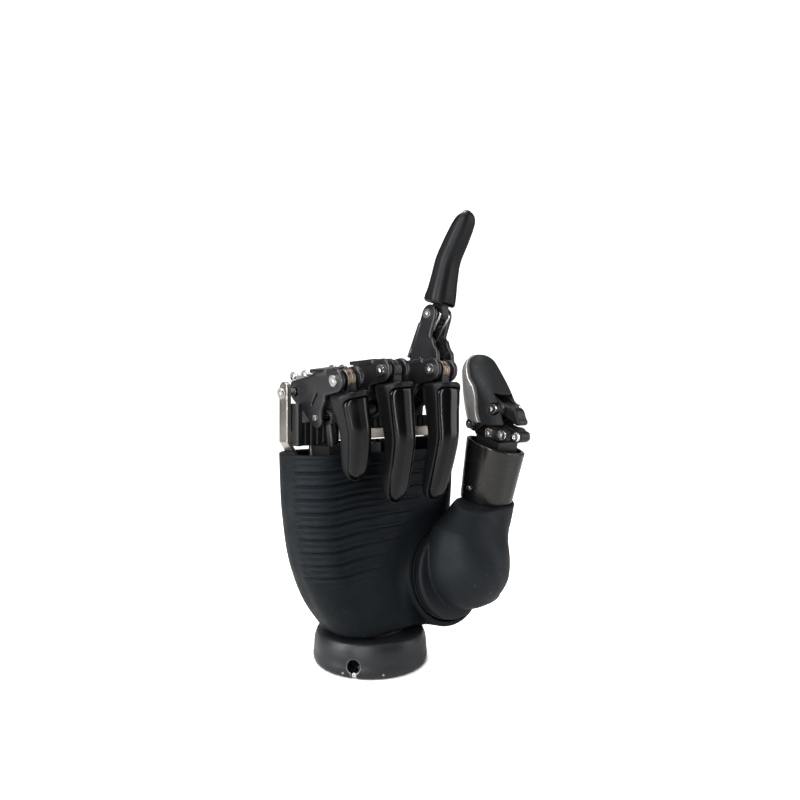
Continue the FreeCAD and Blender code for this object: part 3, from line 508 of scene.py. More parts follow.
class Nodes:
    """Short way to wire a material's nodes."""

    def __init__(self, name):
        self.material = bpy.data.materials.new(name)
        self.material.use_nodes = True
        self.tree = self.material.node_tree
        self.shader = self.tree.nodes["Principled BSDF"]
        self.place = self.add("ShaderNodeTexCoord").outputs["Object"]

    def add(self, kind, **settings):
        node = self.tree.nodes.new(kind)
        for key, value in settings.items():
            setattr(node, key, value)
        return node

    def link(self, source, target):
        self.tree.links.new(source, target)

    def scaled(self, factors):
        node = self.add("ShaderNodeMapping")
        node.inputs["Scale"].default_value = factors
        self.link(self.place, node.inputs["Vector"])
        return node.outputs["Vector"]

    def noise(self, scale, detail=3.0, rough=0.5, vector=None):
        node = self.add("ShaderNodeTexNoise")
        node.inputs["Scale"].default_value = scale
        node.inputs["Detail"].default_value = detail
        node.inputs["Roughness"].default_value = rough
        self.link(vector or self.place, node.inputs["Vector"])
        return node.outputs["Fac"]

    def spread(self, source, low, high, new_low, new_high):
        node = self.add("ShaderNodeMapRange")
        node.inputs["From Min"].default_value = low
        node.inputs["From Max"].default_value = high
        node.inputs["To Min"].default_value = new_low
        node.inputs["To Max"].default_value = new_high
        self.link(source, node.inputs["Value"])
        return node.outputs["Result"]

    def blend(self, share, first, second):
        node = self.add("ShaderNodeMix", data_type="RGBA")
        self.link(share, node.inputs["Factor"])
        for colour, key in ((first, 6), (second, 7)):
            if isinstance(colour, tuple):
                node.inputs[key].default_value = (*colour, 1.0)
            else:
                self.link(colour, node.inputs[key])
        return node.outputs[2]

    def wear(self, low, high, most):
        """Share of wear, growing to its most on convex edges."""
        point = self.add("ShaderNodeNewGeometry").outputs["Pointiness"]
        return self.spread(point, low, high, 0.0, most)

    def bump(self, height, strength, distance):
        node = self.add("ShaderNodeBump")
        node.inputs["Strength"].default_value = strength
        node.inputs["Distance"].default_value = distance
        self.link(height, node.inputs["Height"])
        return node.outputs["Normal"]

    def finish(self, **values):
        for key, value in values.items():
            socket = self.shader.inputs[key.replace("_", " ")]
            if isinstance(value, (int, float)):
                socket.default_value = value
            else:
                self.link(value, socket)
        return self.material


RUBBER_SHEEN = (0.80, 0.92, 1.0, 1.0)  # cool tint of the rubber's reflections


def rubber(name, colour, light, grain=2600.0, level=0.24):
    """Matte moulded rubber with a fine grain, cloudy handling marks and paler worn edges."""
    m = Nodes(name)
    cloud = m.spread(m.noise(45.0, 4.0), 0.35, 0.65, 0.0, 1.0)
    tone = m.blend(cloud, colour, light)
    worn = m.blend(m.wear(0.505, 0.56, 0.35), tone, tuple(3.2 * c for c in light))
    rough = m.spread(m.noise(160.0, 2.0), 0.3, 0.7, 0.50, 0.62)
    normal = m.bump(m.noise(grain, 2.0), 0.22, 0.00012)
    m.shader.inputs["Specular Tint"].default_value = RUBBER_SHEEN
    return m.finish(Base_Color=worn, Roughness=rough, Normal=normal, Specular_IOR_Level=level)


def moulded(name, colour, roughness, coat=0.0, texture=0.1, level=0.5):
    """Moulded plastic: fine spark texture, faint flow marks and handling smears in the gloss."""
    m = Nodes(name)
    flow = m.spread(m.noise(30.0, 3.0), 0.3, 0.7, 0.8, 1.25)
    tone = m.add("ShaderNodeMix", data_type="RGBA", blend_type="MULTIPLY")
    tone.inputs["Factor"].default_value = 1.0
    tone.inputs[6].default_value = (*colour, 1.0)
    m.link(flow, tone.inputs[7])
    worn = m.blend(m.wear(0.51, 0.58, 0.4), tone.outputs[2], tuple(3.0 * c for c in colour))
    smear = m.noise(90.0, 4.0, 0.6, m.scaled((1.0, 1.0, 0.35)))
    rough = m.spread(smear, 0.3, 0.7, roughness * 0.85, roughness * 1.2)
    normal = m.bump(m.noise(3200.0, 2.0), texture, 0.0001)
    return m.finish(
        Base_Color=worn, Roughness=rough, Normal=normal, Coat_Weight=coat, Coat_Roughness=0.12,
        Specular_IOR_Level=level,
    )


def metal(name, colour, roughness, brush=(1.0, 1.0, 1.0), wear=(0.6, 0.6, 0.6), metallic=1.0, grain=0.12):
    """Metal with brushed or blasted grain, uneven roughness and bright worn edges."""
    m = Nodes(name)
    lines = m.noise(1400.0, 3.0, 0.6, m.scaled(brush))
    dim = tuple(0.85 * c for c in colour)
    bright = tuple(1.12 * c for c in colour)
    tone = m.blend(m.spread(lines, 0.3, 0.7, 0.0, 1.0), dim, bright)
    worn = m.blend(m.wear(0.52, 0.6, 0.5), tone, wear)
    rough = m.spread(m.noise(120.0, 3.0), 0.3, 0.7, roughness * 0.85, roughness * 1.2)
    normal = m.bump(lines, grain, 0.0001)
    return m.finish(Base_Color=worn, Roughness=rough, Normal=normal, Metallic=metallic)


def make_materials():
    return {
        "rubber": rubber("cover_rubber", (0.0018, 0.0026, 0.0034), (0.0030, 0.0039, 0.0050), level=0.13),
        "boot_rubber": rubber(
            "boot_rubber", (0.0048, 0.0055, 0.0066), (0.0072, 0.0080, 0.0094), grain=2200.0, level=0.18,
        ),
        "rim": moulded("tip_rim_plastic", (0.0035, 0.0038, 0.0045), 0.44, level=0.17),
        "gloss": moulded("panel_gloss_plastic", (0.0012, 0.0012, 0.0015), 0.20, texture=0.03, level=0.20),
        "proximal": metal(
            "proximal_coating", (0.009, 0.009, 0.0105), 0.33, wear=(0.07, 0.07, 0.075), metallic=0.25,
        ),
        "pad": rubber("thumb_pad_rubber", (0.008, 0.0078, 0.0078), (0.012, 0.0117, 0.0117)),
        "ring": metal("ring_black_coating", (0.013, 0.014, 0.016), 0.42, (0.05, 0.05, 1.0), metallic=0.45),
        "sleeve": metal(
            "sleeve_gunmetal", (0.034, 0.033, 0.032), 0.26, (1.0, 1.0, 0.06), (0.1, 0.098, 0.095), 0.85,
        ),
        # Gunmetal like the sleeve, but with a much paler base colour: a painted highlight for the thumb's
        # back shell.
        "thumb_back_highlight": metal(
            "thumb_back_painted_highlight", (0.46, 0.45, 0.44), 0.30, wear=(0.9, 0.9, 0.9), metallic=0.6,
        ),
        "nickel": metal("nickel_plate", (0.36, 0.33, 0.30), 0.34, (1.0, 1.0, 0.05), (0.62, 0.60, 0.56)),
        "steel": metal("screw_steel", (0.72, 0.71, 0.69), 0.24, wear=(0.9, 0.9, 0.88)),
        "dark": metal("dark_alloy", (0.012, 0.012, 0.0135), 0.34, wear=(0.12, 0.12, 0.125), metallic=0.4),
        "bronze": metal("bush_bronze", (0.17, 0.13, 0.10), 0.38, wear=(0.6, 0.48, 0.38)),
        "black": moulded("black_plastic", (0.004, 0.004, 0.0045), 0.42, level=0.3),
        "board": moulded("board_green", (0.006, 0.045, 0.02), 0.45, coat=0.2),
    }


MATERIALS = make_materials()

NODE_FINISH = {  # a name that starts with _ stands for that part of each finger
    "wrist_lock_screw": "steel", "wrist_bearing": "bronze", "wrist_stub": "dark",
    "retaining_clip": "steel", "chassis": "nickel", "knuckle_block": "dark", "knuckle_pins": "steel",
    "cover_screws": "steel", "finger_actuators": "black", "actuator_motors": "steel",
    "control_board": "board", "thumb_bearing": "bronze", "thumb_rotor": "dark", "thumb_nut": "steel",
    "thumb_sleeve_screw": "steel", "thumb_motor": "steel", "thumb_knuckle": "black",
    "thumb_knuckle_pins": "steel", "thumb_tip_core": "dark", "thumb_tip_pins": "steel",
    "_pins": "steel", "_bush": "bronze", "_tip_core": "black", "_coupler": "steel", "_drive_rod": "dark",
}


def finish_cad_nodes():
    """Material and softened edges for every CAD node that stays visible."""
    for name, node in frame["nodes"].items():
        ending = "_" + name.partition("_")[2]
        key = NODE_FINISH.get(name) or NODE_FINISH.get(ending)
        if key is None or node.hide_render:
            continue
        node.data.materials.clear()
        node.data.materials.append(MATERIALS[key])
        weld = node.modifiers.new("weld", "WELD")
        weld.merge_threshold = WELD_DISTANCE * MM
        soften = node.modifiers.new("soften", "BEVEL")
        soften.width = EDGE_SOFTENING * MM
        soften.segments = 2
        soften.limit_method = "ANGLE"
        soften.angle_limit = math.radians(EDGE_ANGLE)


# Palm -----------------------------------------

palm_half_width = through(PALM_Z, PALM_HALF_WIDTHS)


def box_near(name, below, above):
    """Corners around a CAD node's box in millimetres, with a margin for each side."""
    low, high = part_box(name)
    return [c / MM - m for c, m in zip(low, below)], [c / MM + m for c, m in zip(high, above)]


def seat_coordinates(x, y, z):
    """Height above the thumb seat's rim and distance from its axis."""
    tilt = math.radians(SEAT_TILT)
    dx, dy, dz = x - SEAT_CENTRE[0], y - SEAT_CENTRE[1], z - SEAT_CENTRE[2]
    along = -dy * math.cos(tilt) + dz * math.sin(tilt)
    across = dy * math.sin(tilt) + dz * math.cos(tilt)
    return along, np.hypot(dx, across)


def ribs(x, y, z):
    """Height of the grip ribs over the palm's skin: grooves by the little finger, ridges by the thumb."""
    level = z - RIB_RISE * ease(x, *RIB_RISE_X)
    phase = (level - RIB_FIRST_Z) / RIB_PITCH
    from_line = (phase - np.round(phase)) * RIB_PITCH
    half = phase - 0.5
    from_half = (half - np.round(half)) * RIB_PITCH
    to_ridge = ease(x, *RIB_TURN_X)
    groove = -RIB_DEPTH * (1.0 - RIB_GROOVE_LOSS * to_ridge) * np.exp(-(from_line / RIB_WIDTH) ** 2)
    ridge_height = RIDGE_HEIGHT + RIDGE_GROWTH * to_ridge
    ridge = ridge_height * np.exp(-((from_line - RIDGE_ABOVE) / RIDGE_WIDTH) ** 2)
    faint = -FAINT_SHARE * RIB_DEPTH * (1.0 - ease(x, *FAINT_X)) * np.exp(-(from_half / RIB_WIDTH) ** 2)
    slope = (RIB_END_HIGH[0] - RIB_END_LOW[0]) / (RIB_END_HIGH[1] - RIB_END_LOW[1])
    end_x = RIB_END_LOW[0] + (z - RIB_END_LOW[1]) * slope
    shown = ease(y, *RIB_FADE_Y) * ease(x, *[end_x + offset for offset in RIB_FADE_END])
    shown = shown * ease(z, *[RIB_FIRST_Z + offset for offset in RIB_FADE_FIRST])
    shown = shown * ease(z, *[PALM_TOP + offset for offset in RIB_FADE_TOP])
    return shown * (groove + ridge + faint)


def palm_form(x, y, z):
    """Solid form of the palm, a little thinner near the wrist."""
    full = 1.0 - PALM_THINNING * (1.0 - ease(z, *PALM_THINNING_Z))
    side = rounded_box(x, y, palm_half_width(z), PALM_HALF_DEPTH * full, PALM_CORNER * full)
    return soft_max(0.85 * side, PALM_Z[0] - z, 2.0)


def palm_shell(x, y, z):
    """Both covers in one: the hollow palm with the thumb's seat and its rounded lip."""
    along, across = seat_coordinates(x, y, z)
    outer = palm_form(x, y, z)
    drum = plate(across - SEAT_R, slab(along, -SEAT_DEPTH, 0.0), 1.6)
    lip = np.hypot(across - SEAT_R + LIP_R, along + 0.2) - LIP_R
    skin = soft_min(outer - ribs(x, y, z), drum, 5.0)
    skin = soft_min(skin, lip, 0.8)
    inner = soft_max(outer + PALM_WALL, PALM_Z[0] + PALM_FLOOR - z, 2.0)
    shell = cut(skin, inner, 0.5)
    shell = soft_max(shell, z - PALM_TOP, 0.9)
    bore = soft_max(across - SEAT_BORE_R, -SEAT_BORE_DEPTH - along, 0.4)
    return cut(shell, bore, 0.7)


def palm_front(x, y, z):
    return soft_max(palm_shell(x, y, z), y - PALM_PART_Y + PALM_PART_GAP, 0.5)


def palm_back(x, y, z):
    """Back cover with a pit for each of its four screws."""
    back = soft_max(palm_shell(x, y, z), PALM_PART_Y + PALM_PART_GAP - y, 0.5)
    near_x = np.abs(x) - COVER_SCREW_X
    for height in COVER_SCREW_Z:
        pit = np.maximum(np.hypot(near_x, z - height) - COVER_PIT_R, COVER_PIT_Y - y)
        back = cut(back, pit, 0.4)
    return back


def build_palm():
    low, high = box_near("palm_cover", (1, 3, 1), (1, 1, 1))
    high[1] = PALM_PART_Y + 1
    shape("palm_cover_skin", "palm", palm_front, low, high, 0.42, "rubber", "rubber", "palm_cover")
    low, high = box_near("back_cover", (1, 1, 1), (1, 1, 1))
    low[1] = PALM_PART_Y - 1
    high[2] = PALM_TOP + 1
    shape("back_cover_skin", "palm", palm_back, low, high, 0.5, "rubber", "rubber", "back_cover")


# Wrist ring -----------------------------------

ring_radius = through(RING_HEIGHTS, RING_RADII)


def ring_form(x, y, z):
    """Coupling ring: its side curves in towards the palm, with the keyhole and its slot."""
    across = np.hypot(x, y)
    body = soft_max(0.95 * (across - ring_radius(z)), z - RING_TOP, 0.8)
    body = soft_max(body, RING_BASE - z, 0.4)
    body = cut(body, np.maximum(across - SOCKET_R, z - SOCKET_DEPTH), 0.3)
    body = cut(body, across - RING_BORE_R, 0.2)
    azimuth = math.radians(KEYHOLE_AZIMUTH)
    outward = -x * math.sin(azimuth) - y * math.cos(azimuth)
    sideways = x * math.cos(azimuth) - y * math.sin(azimuth)
    hole = np.hypot(sideways, z - KEYHOLE_Z) - KEYHOLE_R
    slot = np.maximum(np.abs(sideways) - SLOT_HALF_W, z - KEYHOLE_Z)
    return cut(body, np.maximum(np.minimum(hole, slot), -outward), 0.25)


def build_ring():
    reach = RING_RADII[1] + 1.5
    low, high = (-reach, -reach, -1), (reach, reach, RING_TOP + 1)
    shape("wrist_ring_body", "wrist", ring_form, low, high, 0.36, "ring", "satin_black_metal", "wrist_ring")


# Guards ---------------------------------------

def guard_form(wide, deep, tall):
    """Ribbed black bar from its x, y and z ranges."""
    def field(x, y, z):
        bar = plate(np.maximum(slab(x, *wide), slab(y, *deep)), slab(z, *tall), 0.4)
        phase = (x - wide[0]) / GUARD_PITCH
        across = np.abs(phase - np.round(phase)) * GUARD_PITCH
        groove = np.maximum(across - GUARD_GROOVE[0], y - deep[0] - GUARD_GROOVE[1])
        return cut(bar, groove, 0.3)

    return field


def guard_post(x, y, z):
    """Turned post between the guard and the actuators."""
    return plate(np.hypot(x - GUARD_POST[0], y - GUARD_POST[1]) - GUARD_POST_R, slab(z, *GUARD_POST_Z), 0.3)


def build_guards():
    for name, ranges in GUARDS.items():
        low = [pair[0] - 1 for pair in ranges]
        high = [pair[1] + 1 for pair in ranges]
        shape(name, "palm", guard_form(*ranges), low, high, 0.3, "black", "black_plastic")
    reach = GUARD_POST_R + 1
    low = (GUARD_POST[0] - reach, GUARD_POST[1] - reach, GUARD_POST_Z[0] - 1)
    high = (GUARD_POST[0] + reach, GUARD_POST[1] + reach, GUARD_POST_Z[1] + 1)
    shape("guard_post", "palm", guard_post, low, high, 0.3, "bronze", "bronze")


# Thumb base -----------------------------------

def lean_axes(degrees):
    """Axes of a frame leant towards the palm side about x."""
    lean = math.radians(degrees)
    return np.array([
        (1.0, 0.0, 0.0), (0.0, math.cos(lean), -math.sin(lean)), (0.0, math.sin(lean), math.cos(lean)),
    ])


SLEEVE_PLACE = Place(np.array(SLEEVE_BASE) * MM, lean_axes(SLEEVE_LEAN))


def to_sleeve(x, y, z):
    """Coordinates on the sleeve's own axes, from its base."""
    lean = math.radians(SLEEVE_LEAN)
    dy, dz = y - SLEEVE_BASE[1], z - SLEEVE_BASE[2]
    across = dy * math.cos(lean) + dz * math.sin(lean)
    along = dz * math.cos(lean) - dy * math.sin(lean)
    return x - SLEEVE_BASE[0], across, along


def boot_form(x, y, z):
    """Rubber boot: a flange and a bulb on the thumb's seat, a heel, a shoulder and the sleeve's cuff."""
    along, across = seat_coordinates(x, y, z)
    sx, sy, sz = to_sleeve(x, y, z)
    dx, dy, dz = x - BOOT_CENTRE[0], y - BOOT_CENTRE[1], z - BOOT_CENTRE[2]
    bulb = np.sqrt(dx ** 2 + dy ** 2 + dz ** 2) - BOOT_R
    neck_r = SLEEVE_HALF[1] + BOOT_NECK_OVER
    neck = round_cone(x, y, z, BOOT_CENTRE, SLEEVE_BASE, BOOT_R - 0.5, neck_r)
    heel = round_cone(x, y, z, BOOT_HEEL, SLEEVE_BASE, BOOT_HEEL_R, neck_r)
    heel = soft_max(heel, BOOT_HEEL[2] - z, 1.2)
    cuff_side = rounded_box(sx, sy, *[half + BOOT_CUFF for half in SLEEVE_HALF], SLEEVE_CORNER + BOOT_CUFF)
    cuff = plate(cuff_side, slab(sz, -BOOT_CUFF_DEPTH, BOOT_CUFF), 0.8)
    shoulder = round_cone(x, y, z, *BOOT_SHOULDER, *BOOT_SHOULDER_R)
    body = soft_min(soft_min(bulb, neck, 5.0), heel, 2.5)
    body = soft_min(body, shoulder, 4.0)
    body = soft_min(body, cuff, 3.0)
    flange = plate(across - BOOT_FLANGE_R, slab(along, *BOOT_FLANGE), 1.3)
    body = soft_max(body, BOOT_FLANGE[0] - along, 0.8)
    body = soft_min(body, flange, 1.1)
    body = soft_max(body, sz - BOOT_CUFF, 0.8)
    palm_side = np.maximum(x - BOOT_CLEAR_X, -PALM_HALF_DEPTH - BOOT_CLEAR_GAP - y)
    body = cut(body, np.maximum(palm_side, slab(z, *BOOT_CLEAR_Z)), 1.5)
    room = rounded_box(sx, sy, *[half + SLEEVE_FIT for half in SLEEVE_HALF], SLEEVE_CORNER)
    return cut(body, np.maximum(room, -SLEEVE_FIT - sz), 0.3)


def sleeve_form(x, y, z):
    """Flared tube with a slanted mouth, a floor and a hole for its screw."""
    half_x, half_y = [a + (b - a) * z / SLEEVE_LENGTH for a, b in zip(SLEEVE_HALF, SLEEVE_TOP_HALF)]
    outer = rounded_box(x, y, half_x, half_y, SLEEVE_CORNER)
    inner = outer + SLEEVE_WALL
    across, along = [math.tan(math.radians(slope)) for slope in SLEEVE_SLANT]
    top = z - SLEEVE_LENGTH + SLEEVE_DROP + x * across - y * along
    tube = soft_max(outer, top * 0.97, 0.8)
    tube = soft_max(tube, 0.05 - z, 0.5)
    tube = cut(tube, np.maximum(inner, SLEEVE_FLOOR - z), 0.5)
    screw = np.hypot(y, z - SLEEVE_SCREW_Z) - SLEEVE_SCREW_R
    return cut(tube, np.maximum(screw, x + SLEEVE_HALF[0] - 3.0), 0.35)


def build_thumb_base():
    low, high = box_near("thumb_boot", (2, 2, 2), (3, 3, 5))
    shape("thumb_boot_skin", "thumb_base", boot_form, low, high, 0.5, "boot_rubber", "rubber", "thumb_boot")
    reach_x, reach_y = [half + 1 for half in SLEEVE_TOP_HALF]
    low, high = (-reach_x, -reach_y, -1), (reach_x, reach_y, SLEEVE_LENGTH + 4)
    shape(
        "thumb_sleeve_body", "thumb_base", sleeve_form, low, high, 0.36,
        "sleeve", "gunmetal", "thumb_sleeve", SLEEVE_PLACE,
    )


# Fingers --------------------------------------

def unit(vector):
    return vector / np.linalg.norm(vector)


def finger_place(joint_name, toward):
    """Frame at a joint: x along its pin, z towards a point, y to the back of the hand."""
    found = joint(joint_name)
    origin = np.array(found["pos_m"])
    x = unit(np.array(found["axis"]))
    z = np.array(toward) - origin
    z = unit(z - x * z.dot(x))
    return Place(origin, np.column_stack([x, np.cross(z, x), z]))


def core_end(name):
    """Middle of the fingertip core's far end."""
    points = np.array([v.co for v in frame["nodes"][name + "_tip_core"].data.vertices])
    away = np.linalg.norm(points - np.array(joint(name + "_tip_bend")["pos_m"]), axis=1)
    return points[away > away.max() - 0.00005].mean(0)


def proximal_form(name):
    """Two cheeks around three pins, joined by a strap along the back."""
    length = FINGERS[name][0]
    angle = math.radians(DRIVE_ANGLE)
    drive = (-DRIVE_R * math.cos(angle), -DRIVE_R * math.sin(angle))
    pins = ((0.0, 0.0), (0.0, length), drive)
    ends = [(*pin, radius) for pin, radius in zip(pins, (BOSS_R, BOSS_R, DRIVE_BOSS_R))]
    slit_ends = [(drive[0] + dy, drive[1] + dz, radius) for dy, dz, radius in SLIT_ENDS]

    def field(x, y, z):
        outline = web(y, z, ends)
        cheeks = plate(outline, slab(np.abs(x), CHEEK_IN, CHEEK_OUT), 0.6)
        along = (z - STRAP_FALL_Z[0]) / (length - sum(STRAP_FALL_Z))
        across = slab(y, *[height - STRAP_FALL * along for height in STRAP_Y])
        strap = np.maximum(slab(z, STRAP_Z[0], length - STRAP_Z[1]), across)
        body = soft_min(cheeks, plate(strap, np.abs(x) - CHEEK_OUT, 0.7), 1.4)
        room = soft_max(y + FOLD_ROOM[0], length - FOLD_ROOM[1] - z, 2.0)
        body = cut(body, room, 1.0)
        body = cut(body, np.hypot(y + SCOOP[0], z - length + SCOOP[1]) - SCOOP[2], 1.0)
        slit = np.maximum(belt(y, z, *slit_ends), CHEEK_IN + SLIT_FLOOR - np.abs(x))
        body = cut(body, slit, 0.4)
        for pin, radius in zip(pins, BORE_R):
            body = cut(body, np.hypot(y - pin[0], z - pin[1]) - radius, 0.35)
        return body

    return field


def tip_middle(z, length, lean):
    """Height of the fingertip's bent middle line."""
    past = np.maximum(0.0, z / length - TIP_BEND_AT)
    early = past ** 2 / (2 * TIP_BEND_SPAN)
    drop = np.where(past < TIP_BEND_SPAN, early, past - TIP_BEND_SPAN / 2)
    return lean * z - TIP_BEND * drop * length


TIP_SHARES = (0.0, 0.16, 0.34, 0.52, 0.72, 0.88, 0.96, 1.0)
tip_width_share = through(TIP_SHARES, (1.0, 0.99, 0.88, 0.8, 0.77, 0.68, 0.55, 0.42))
tip_depth_share = through(TIP_SHARES, (0.93, 0.97, 0.86, 0.79, 0.74, 0.62, 0.48, 0.36))


def tip_outer(x, y, z, length, depth, lean, inset=0.0):
    """Fingertip's outer form with a round end."""
    t = np.clip(z / length, 0.0, 1.0)
    half_x = FINGER_HALF_W * tip_width_share(t) - inset
    half_y = depth * tip_depth_share(t) - inset
    mid = tip_middle(np.minimum(z, length), length, lean)
    side = rounded_box(x, y - mid, half_x, half_y, 0.8 * np.minimum(half_x, half_y))
    end_mid = tip_middle(length - TIP_END_R, length, lean)
    cap = z - length + inset + TIP_CAP_SLOPE * np.abs(y - end_mid) + TIP_CAP_CURVE * x * x
    return soft_max(0.95 * side, 0.9 * cap, 4.0)


def panel_outline(x, z, length):
    """Distance to the back panel's outline: an arch at the base, tapering to a round end."""
    t = np.clip(z / length, 0.0, 1.0)
    waist = PANEL_WAIST * (1.0 - ease(z, TIP_BASE, 0.4 * length))
    side = np.abs(x) - FINGER_HALF_W * tip_width_share(t) + PANEL_INSET + waist
    start = TIP_BASE + PANEL_START - z
    end = z - length + PANEL_END + PANEL_END_CURVE * x * x
    return soft_max(soft_max(side, start, 3.2), end, 3.2)


def panel_top(z, length, depth, lean):
    """Height of the panel's flat back: rising to a crease and falling past it."""
    t = np.clip(z / length, 0.0, 1.0)
    return tip_middle(z, length, lean) + depth * tip_depth_share(t)


def tip_housing(name):
    """Fingertip without the panel's recess and without the room for the hinge."""
    length, depth, lean = FINGERS[name][1:]

    def field(x, y, z):
        body = tip_outer(x, y, z, length, depth, lean)
        body = soft_max(body, TIP_BASE - 0.6 + 0.02 * x * x - z, 1.3)
        floor = panel_top(z, length, depth, lean) - PANEL_POCKET
        body = cut(body, np.maximum(panel_outline(x, z, length) - PANEL_GAP, floor - y), 0.5)
        tongue = np.maximum(np.hypot(y, z) - TIP_BASE - 3.2, np.abs(x) - TONGUE_HALF_W - 0.2)
        bars = np.maximum(np.maximum(np.abs(x) - CHEEK_IN, z - TIP_BASE - 1.2), y - 1.5)
        return cut(cut(body, tongue, 0.3), bars, 0.6)

    return field


def tip_panel(name):
    """Glossy panel: a flat back with a bevel along both sides."""
    length, depth, lean = FINGERS[name][1:]

    def field(x, y, z):
        outline = panel_outline(x, z, length)
        top = panel_top(z, length, depth, lean)
        flat = y - top - 0.1
        past_flat = np.abs(x) - PANEL_FLAT * FINGER_HALF_W
        bevel = (y - top + PANEL_BEVEL * past_flat) * PANEL_BEVEL_SCALE
        skin = soft_max(flat, bevel, 1.3)
        outer = tip_outer(x, y, z, length, depth, lean, -0.15)
        skin = soft_max(skin, outer, 1.2)
        body = soft_max(outline, skin, 1.0)
        return soft_max(body, top - PANEL_DEPTH - y, 0.4)

    return field


def tip_barrel(x, y, z):
    """Turned collar around the fingertip's hinge, grooved in the middle."""
    across = np.hypot(y, z)
    ring = plate(across - BARREL_R, np.abs(x) - TONGUE_HALF_W + 0.15, 0.3)
    groove = np.maximum(np.abs(x) - BARREL_GROOVE_HALF_W, BARREL_GROOVE_R - across)
    return cut(cut(ring, groove, 0.15), across - BARREL_BORE_R, 0.2)


def build_finger(name):
    proximal_length, length = FINGERS[name][:2]
    place = finger_place(name + "_curl", joint(name + "_tip_bend")["pos_m"])
    low, high = (-6.6, -18.5, -7.5), (6.6, 8.5, proximal_length + 6)
    shape(
        name + "_proximal_frame", name + "_proximal", proximal_form(name), low, high, 0.34,
        "proximal", "proximal_grey", name + "_proximal", place,
    )
    place = finger_place(name + "_tip_bend", core_end(name))
    low, high = (-8.5, -15.5, 4.5), (8.5, 11.5, length + 1.5)
    shape(
        name + "_tip_housing", name + "_tip", tip_housing(name), low, high, 0.34,
        "rim", "black_plastic", name + "_tip_grip", place,
    )
    shape(
        name + "_tip_panel", name + "_tip", tip_panel(name), low, high, 0.3,
        "gloss", "gloss_black", name + "_tip_shell", place,
    )
    finish, slot = ("dark", "dark_alloy") if name == DARK_BARREL else ("bronze", "bronze")
    shape(
        name + "_tip_barrel", name + "_tip", tip_barrel, (-3, -5, -5), (3, 5, 5), 0.2,
        finish, slot, place=place,
    )


# Thumb tip ------------------------------------

THUMB_BASE = (THUMB_PIVOT + np.array([THUMB_PIVOT[0], *THUMB_DRIVE[1:]])) / 2  # between the two pins
thumb_axis = np.array(THUMB_TIP) - THUMB_BASE
THUMB_LENGTH = float(np.linalg.norm(thumb_axis))
THUMB_LEAN = -math.degrees(math.atan2(thumb_axis[1], thumb_axis[2]))
THUMB_PLACE = Place(THUMB_BASE * MM, lean_axes(THUMB_LEAN))
THUMB_SHARES = (0.0, 0.25, 0.5, 0.72, 0.88, 0.96, 1.0)
thumb_width_share = through(THUMB_SHARES, (1.0, 1.0, 0.98, 0.9, 0.76, 0.62, 0.5))
thumb_depth = through(THUMB_SHARES, (11.4, 10.6, 9.2, 7.5, 5.9, 4.6, 3.6))


def thumb_outer(x, y, z):
    """Thumb tip's outer form with a round end."""
    t = np.clip(z / THUMB_LENGTH, 0.0, 1.0)
    half_x = THUMB_HALF_W * thumb_width_share(t)
    half_y = thumb_depth(t)
    side = rounded_box(x, y, half_x, half_y, 0.8 * np.minimum(half_x, half_y))
    cap = z - THUMB_LENGTH + THUMB_CAP_CURVE[0] * x * x + THUMB_CAP_CURVE[1] * y * y
    return soft_max(0.95 * side, 0.9 * cap, 3.5)


def thumb_mouth(x, y, z):
    """Opening at the thumb's base for the ears, the arm and the knuckle, in world millimetres."""
    edge = np.maximum(MOUTH_Z[0] + (MOUTH_Y - y) * MOUTH_SLOPE, MOUTH_Z[1])
    gap = np.maximum(np.abs(x - THUMB_PIVOT[0]) - MOUTH_HALF_W, z - edge)
    for pin in (THUMB_PIVOT, THUMB_DRIVE):
        gap = np.minimum(gap, np.hypot(y - pin[1], z - pin[2]) - MOUTH_PIN_R)
    return gap


def thumb_world(x, y, z):
    """The same points on the hand's own axes."""
    points = THUMB_PLACE.world(np.stack([x.ravel(), y.ravel(), z.ravel()], 1)) / MM
    return [points[:, i].reshape(x.shape) for i in range(3)]


def thumb_split(y, z):
    """Positive on the back of the thumb: the seam dips past the mouth and steps back half way up."""
    return y - SEAM_Y - SEAM_STEP * ease(z, *SEAM_STEP_Z) + SEAM_DIP * ease(z, *SEAM_DIP_Z)


def thumb_piece(dorsal):
    """Field of the back shell or of the grip pad, parted along the seam."""
    base_z = SHELL_BASE_Z if dorsal else PAD_BASE_Z
    room_r, room_z, room_end = KNUCKLE_ROOM

    def field(x, y, z):
        wx, wy, wz = thumb_world(x, y, z)
        body = cut(thumb_outer(x, y, z), thumb_mouth(wx, wy, wz), 0.6)
        body = soft_max(body, base_z - wz, 1.2)
        room = np.maximum(np.abs(x) - MOUTH_HALF_W, z - room_end)
        body = cut(body, np.maximum(room, np.hypot(y, z - room_z) - room_r), 0.5)
        side = thumb_split(y, z)
        if dorsal:
            return soft_max(body - SHELL_RAISE, SEAM_HALF_GAP - side, 0.6)
        return soft_max(body, side + SEAM_HALF_GAP, 0.9)

    return field


def tendon_arm(x, y, z):
    """Curved arm that hangs from the drive pin in front of the knuckle."""
    first = belt(y, z, *ARM_ENDS[0:2])
    second = belt(y, z, *ARM_ENDS[1:3])
    body = plate(soft_min(first, second, 2.5), np.abs(x - THUMB_PIVOT[0]) - ARM_HALF_W, 0.9)
    return cut(body, np.hypot(y - THUMB_DRIVE[1], z - THUMB_DRIVE[2]) - ARM_BORE_R, 0.2)


def knuckle_yoke(x, y, z):
    """Fills the thumb's knuckle between the ears, down to a front screw."""
    return plate(web(y, z, YOKE_ENDS), np.abs(x - THUMB_PIVOT[0]) - YOKE_HALF_W, 0.7)


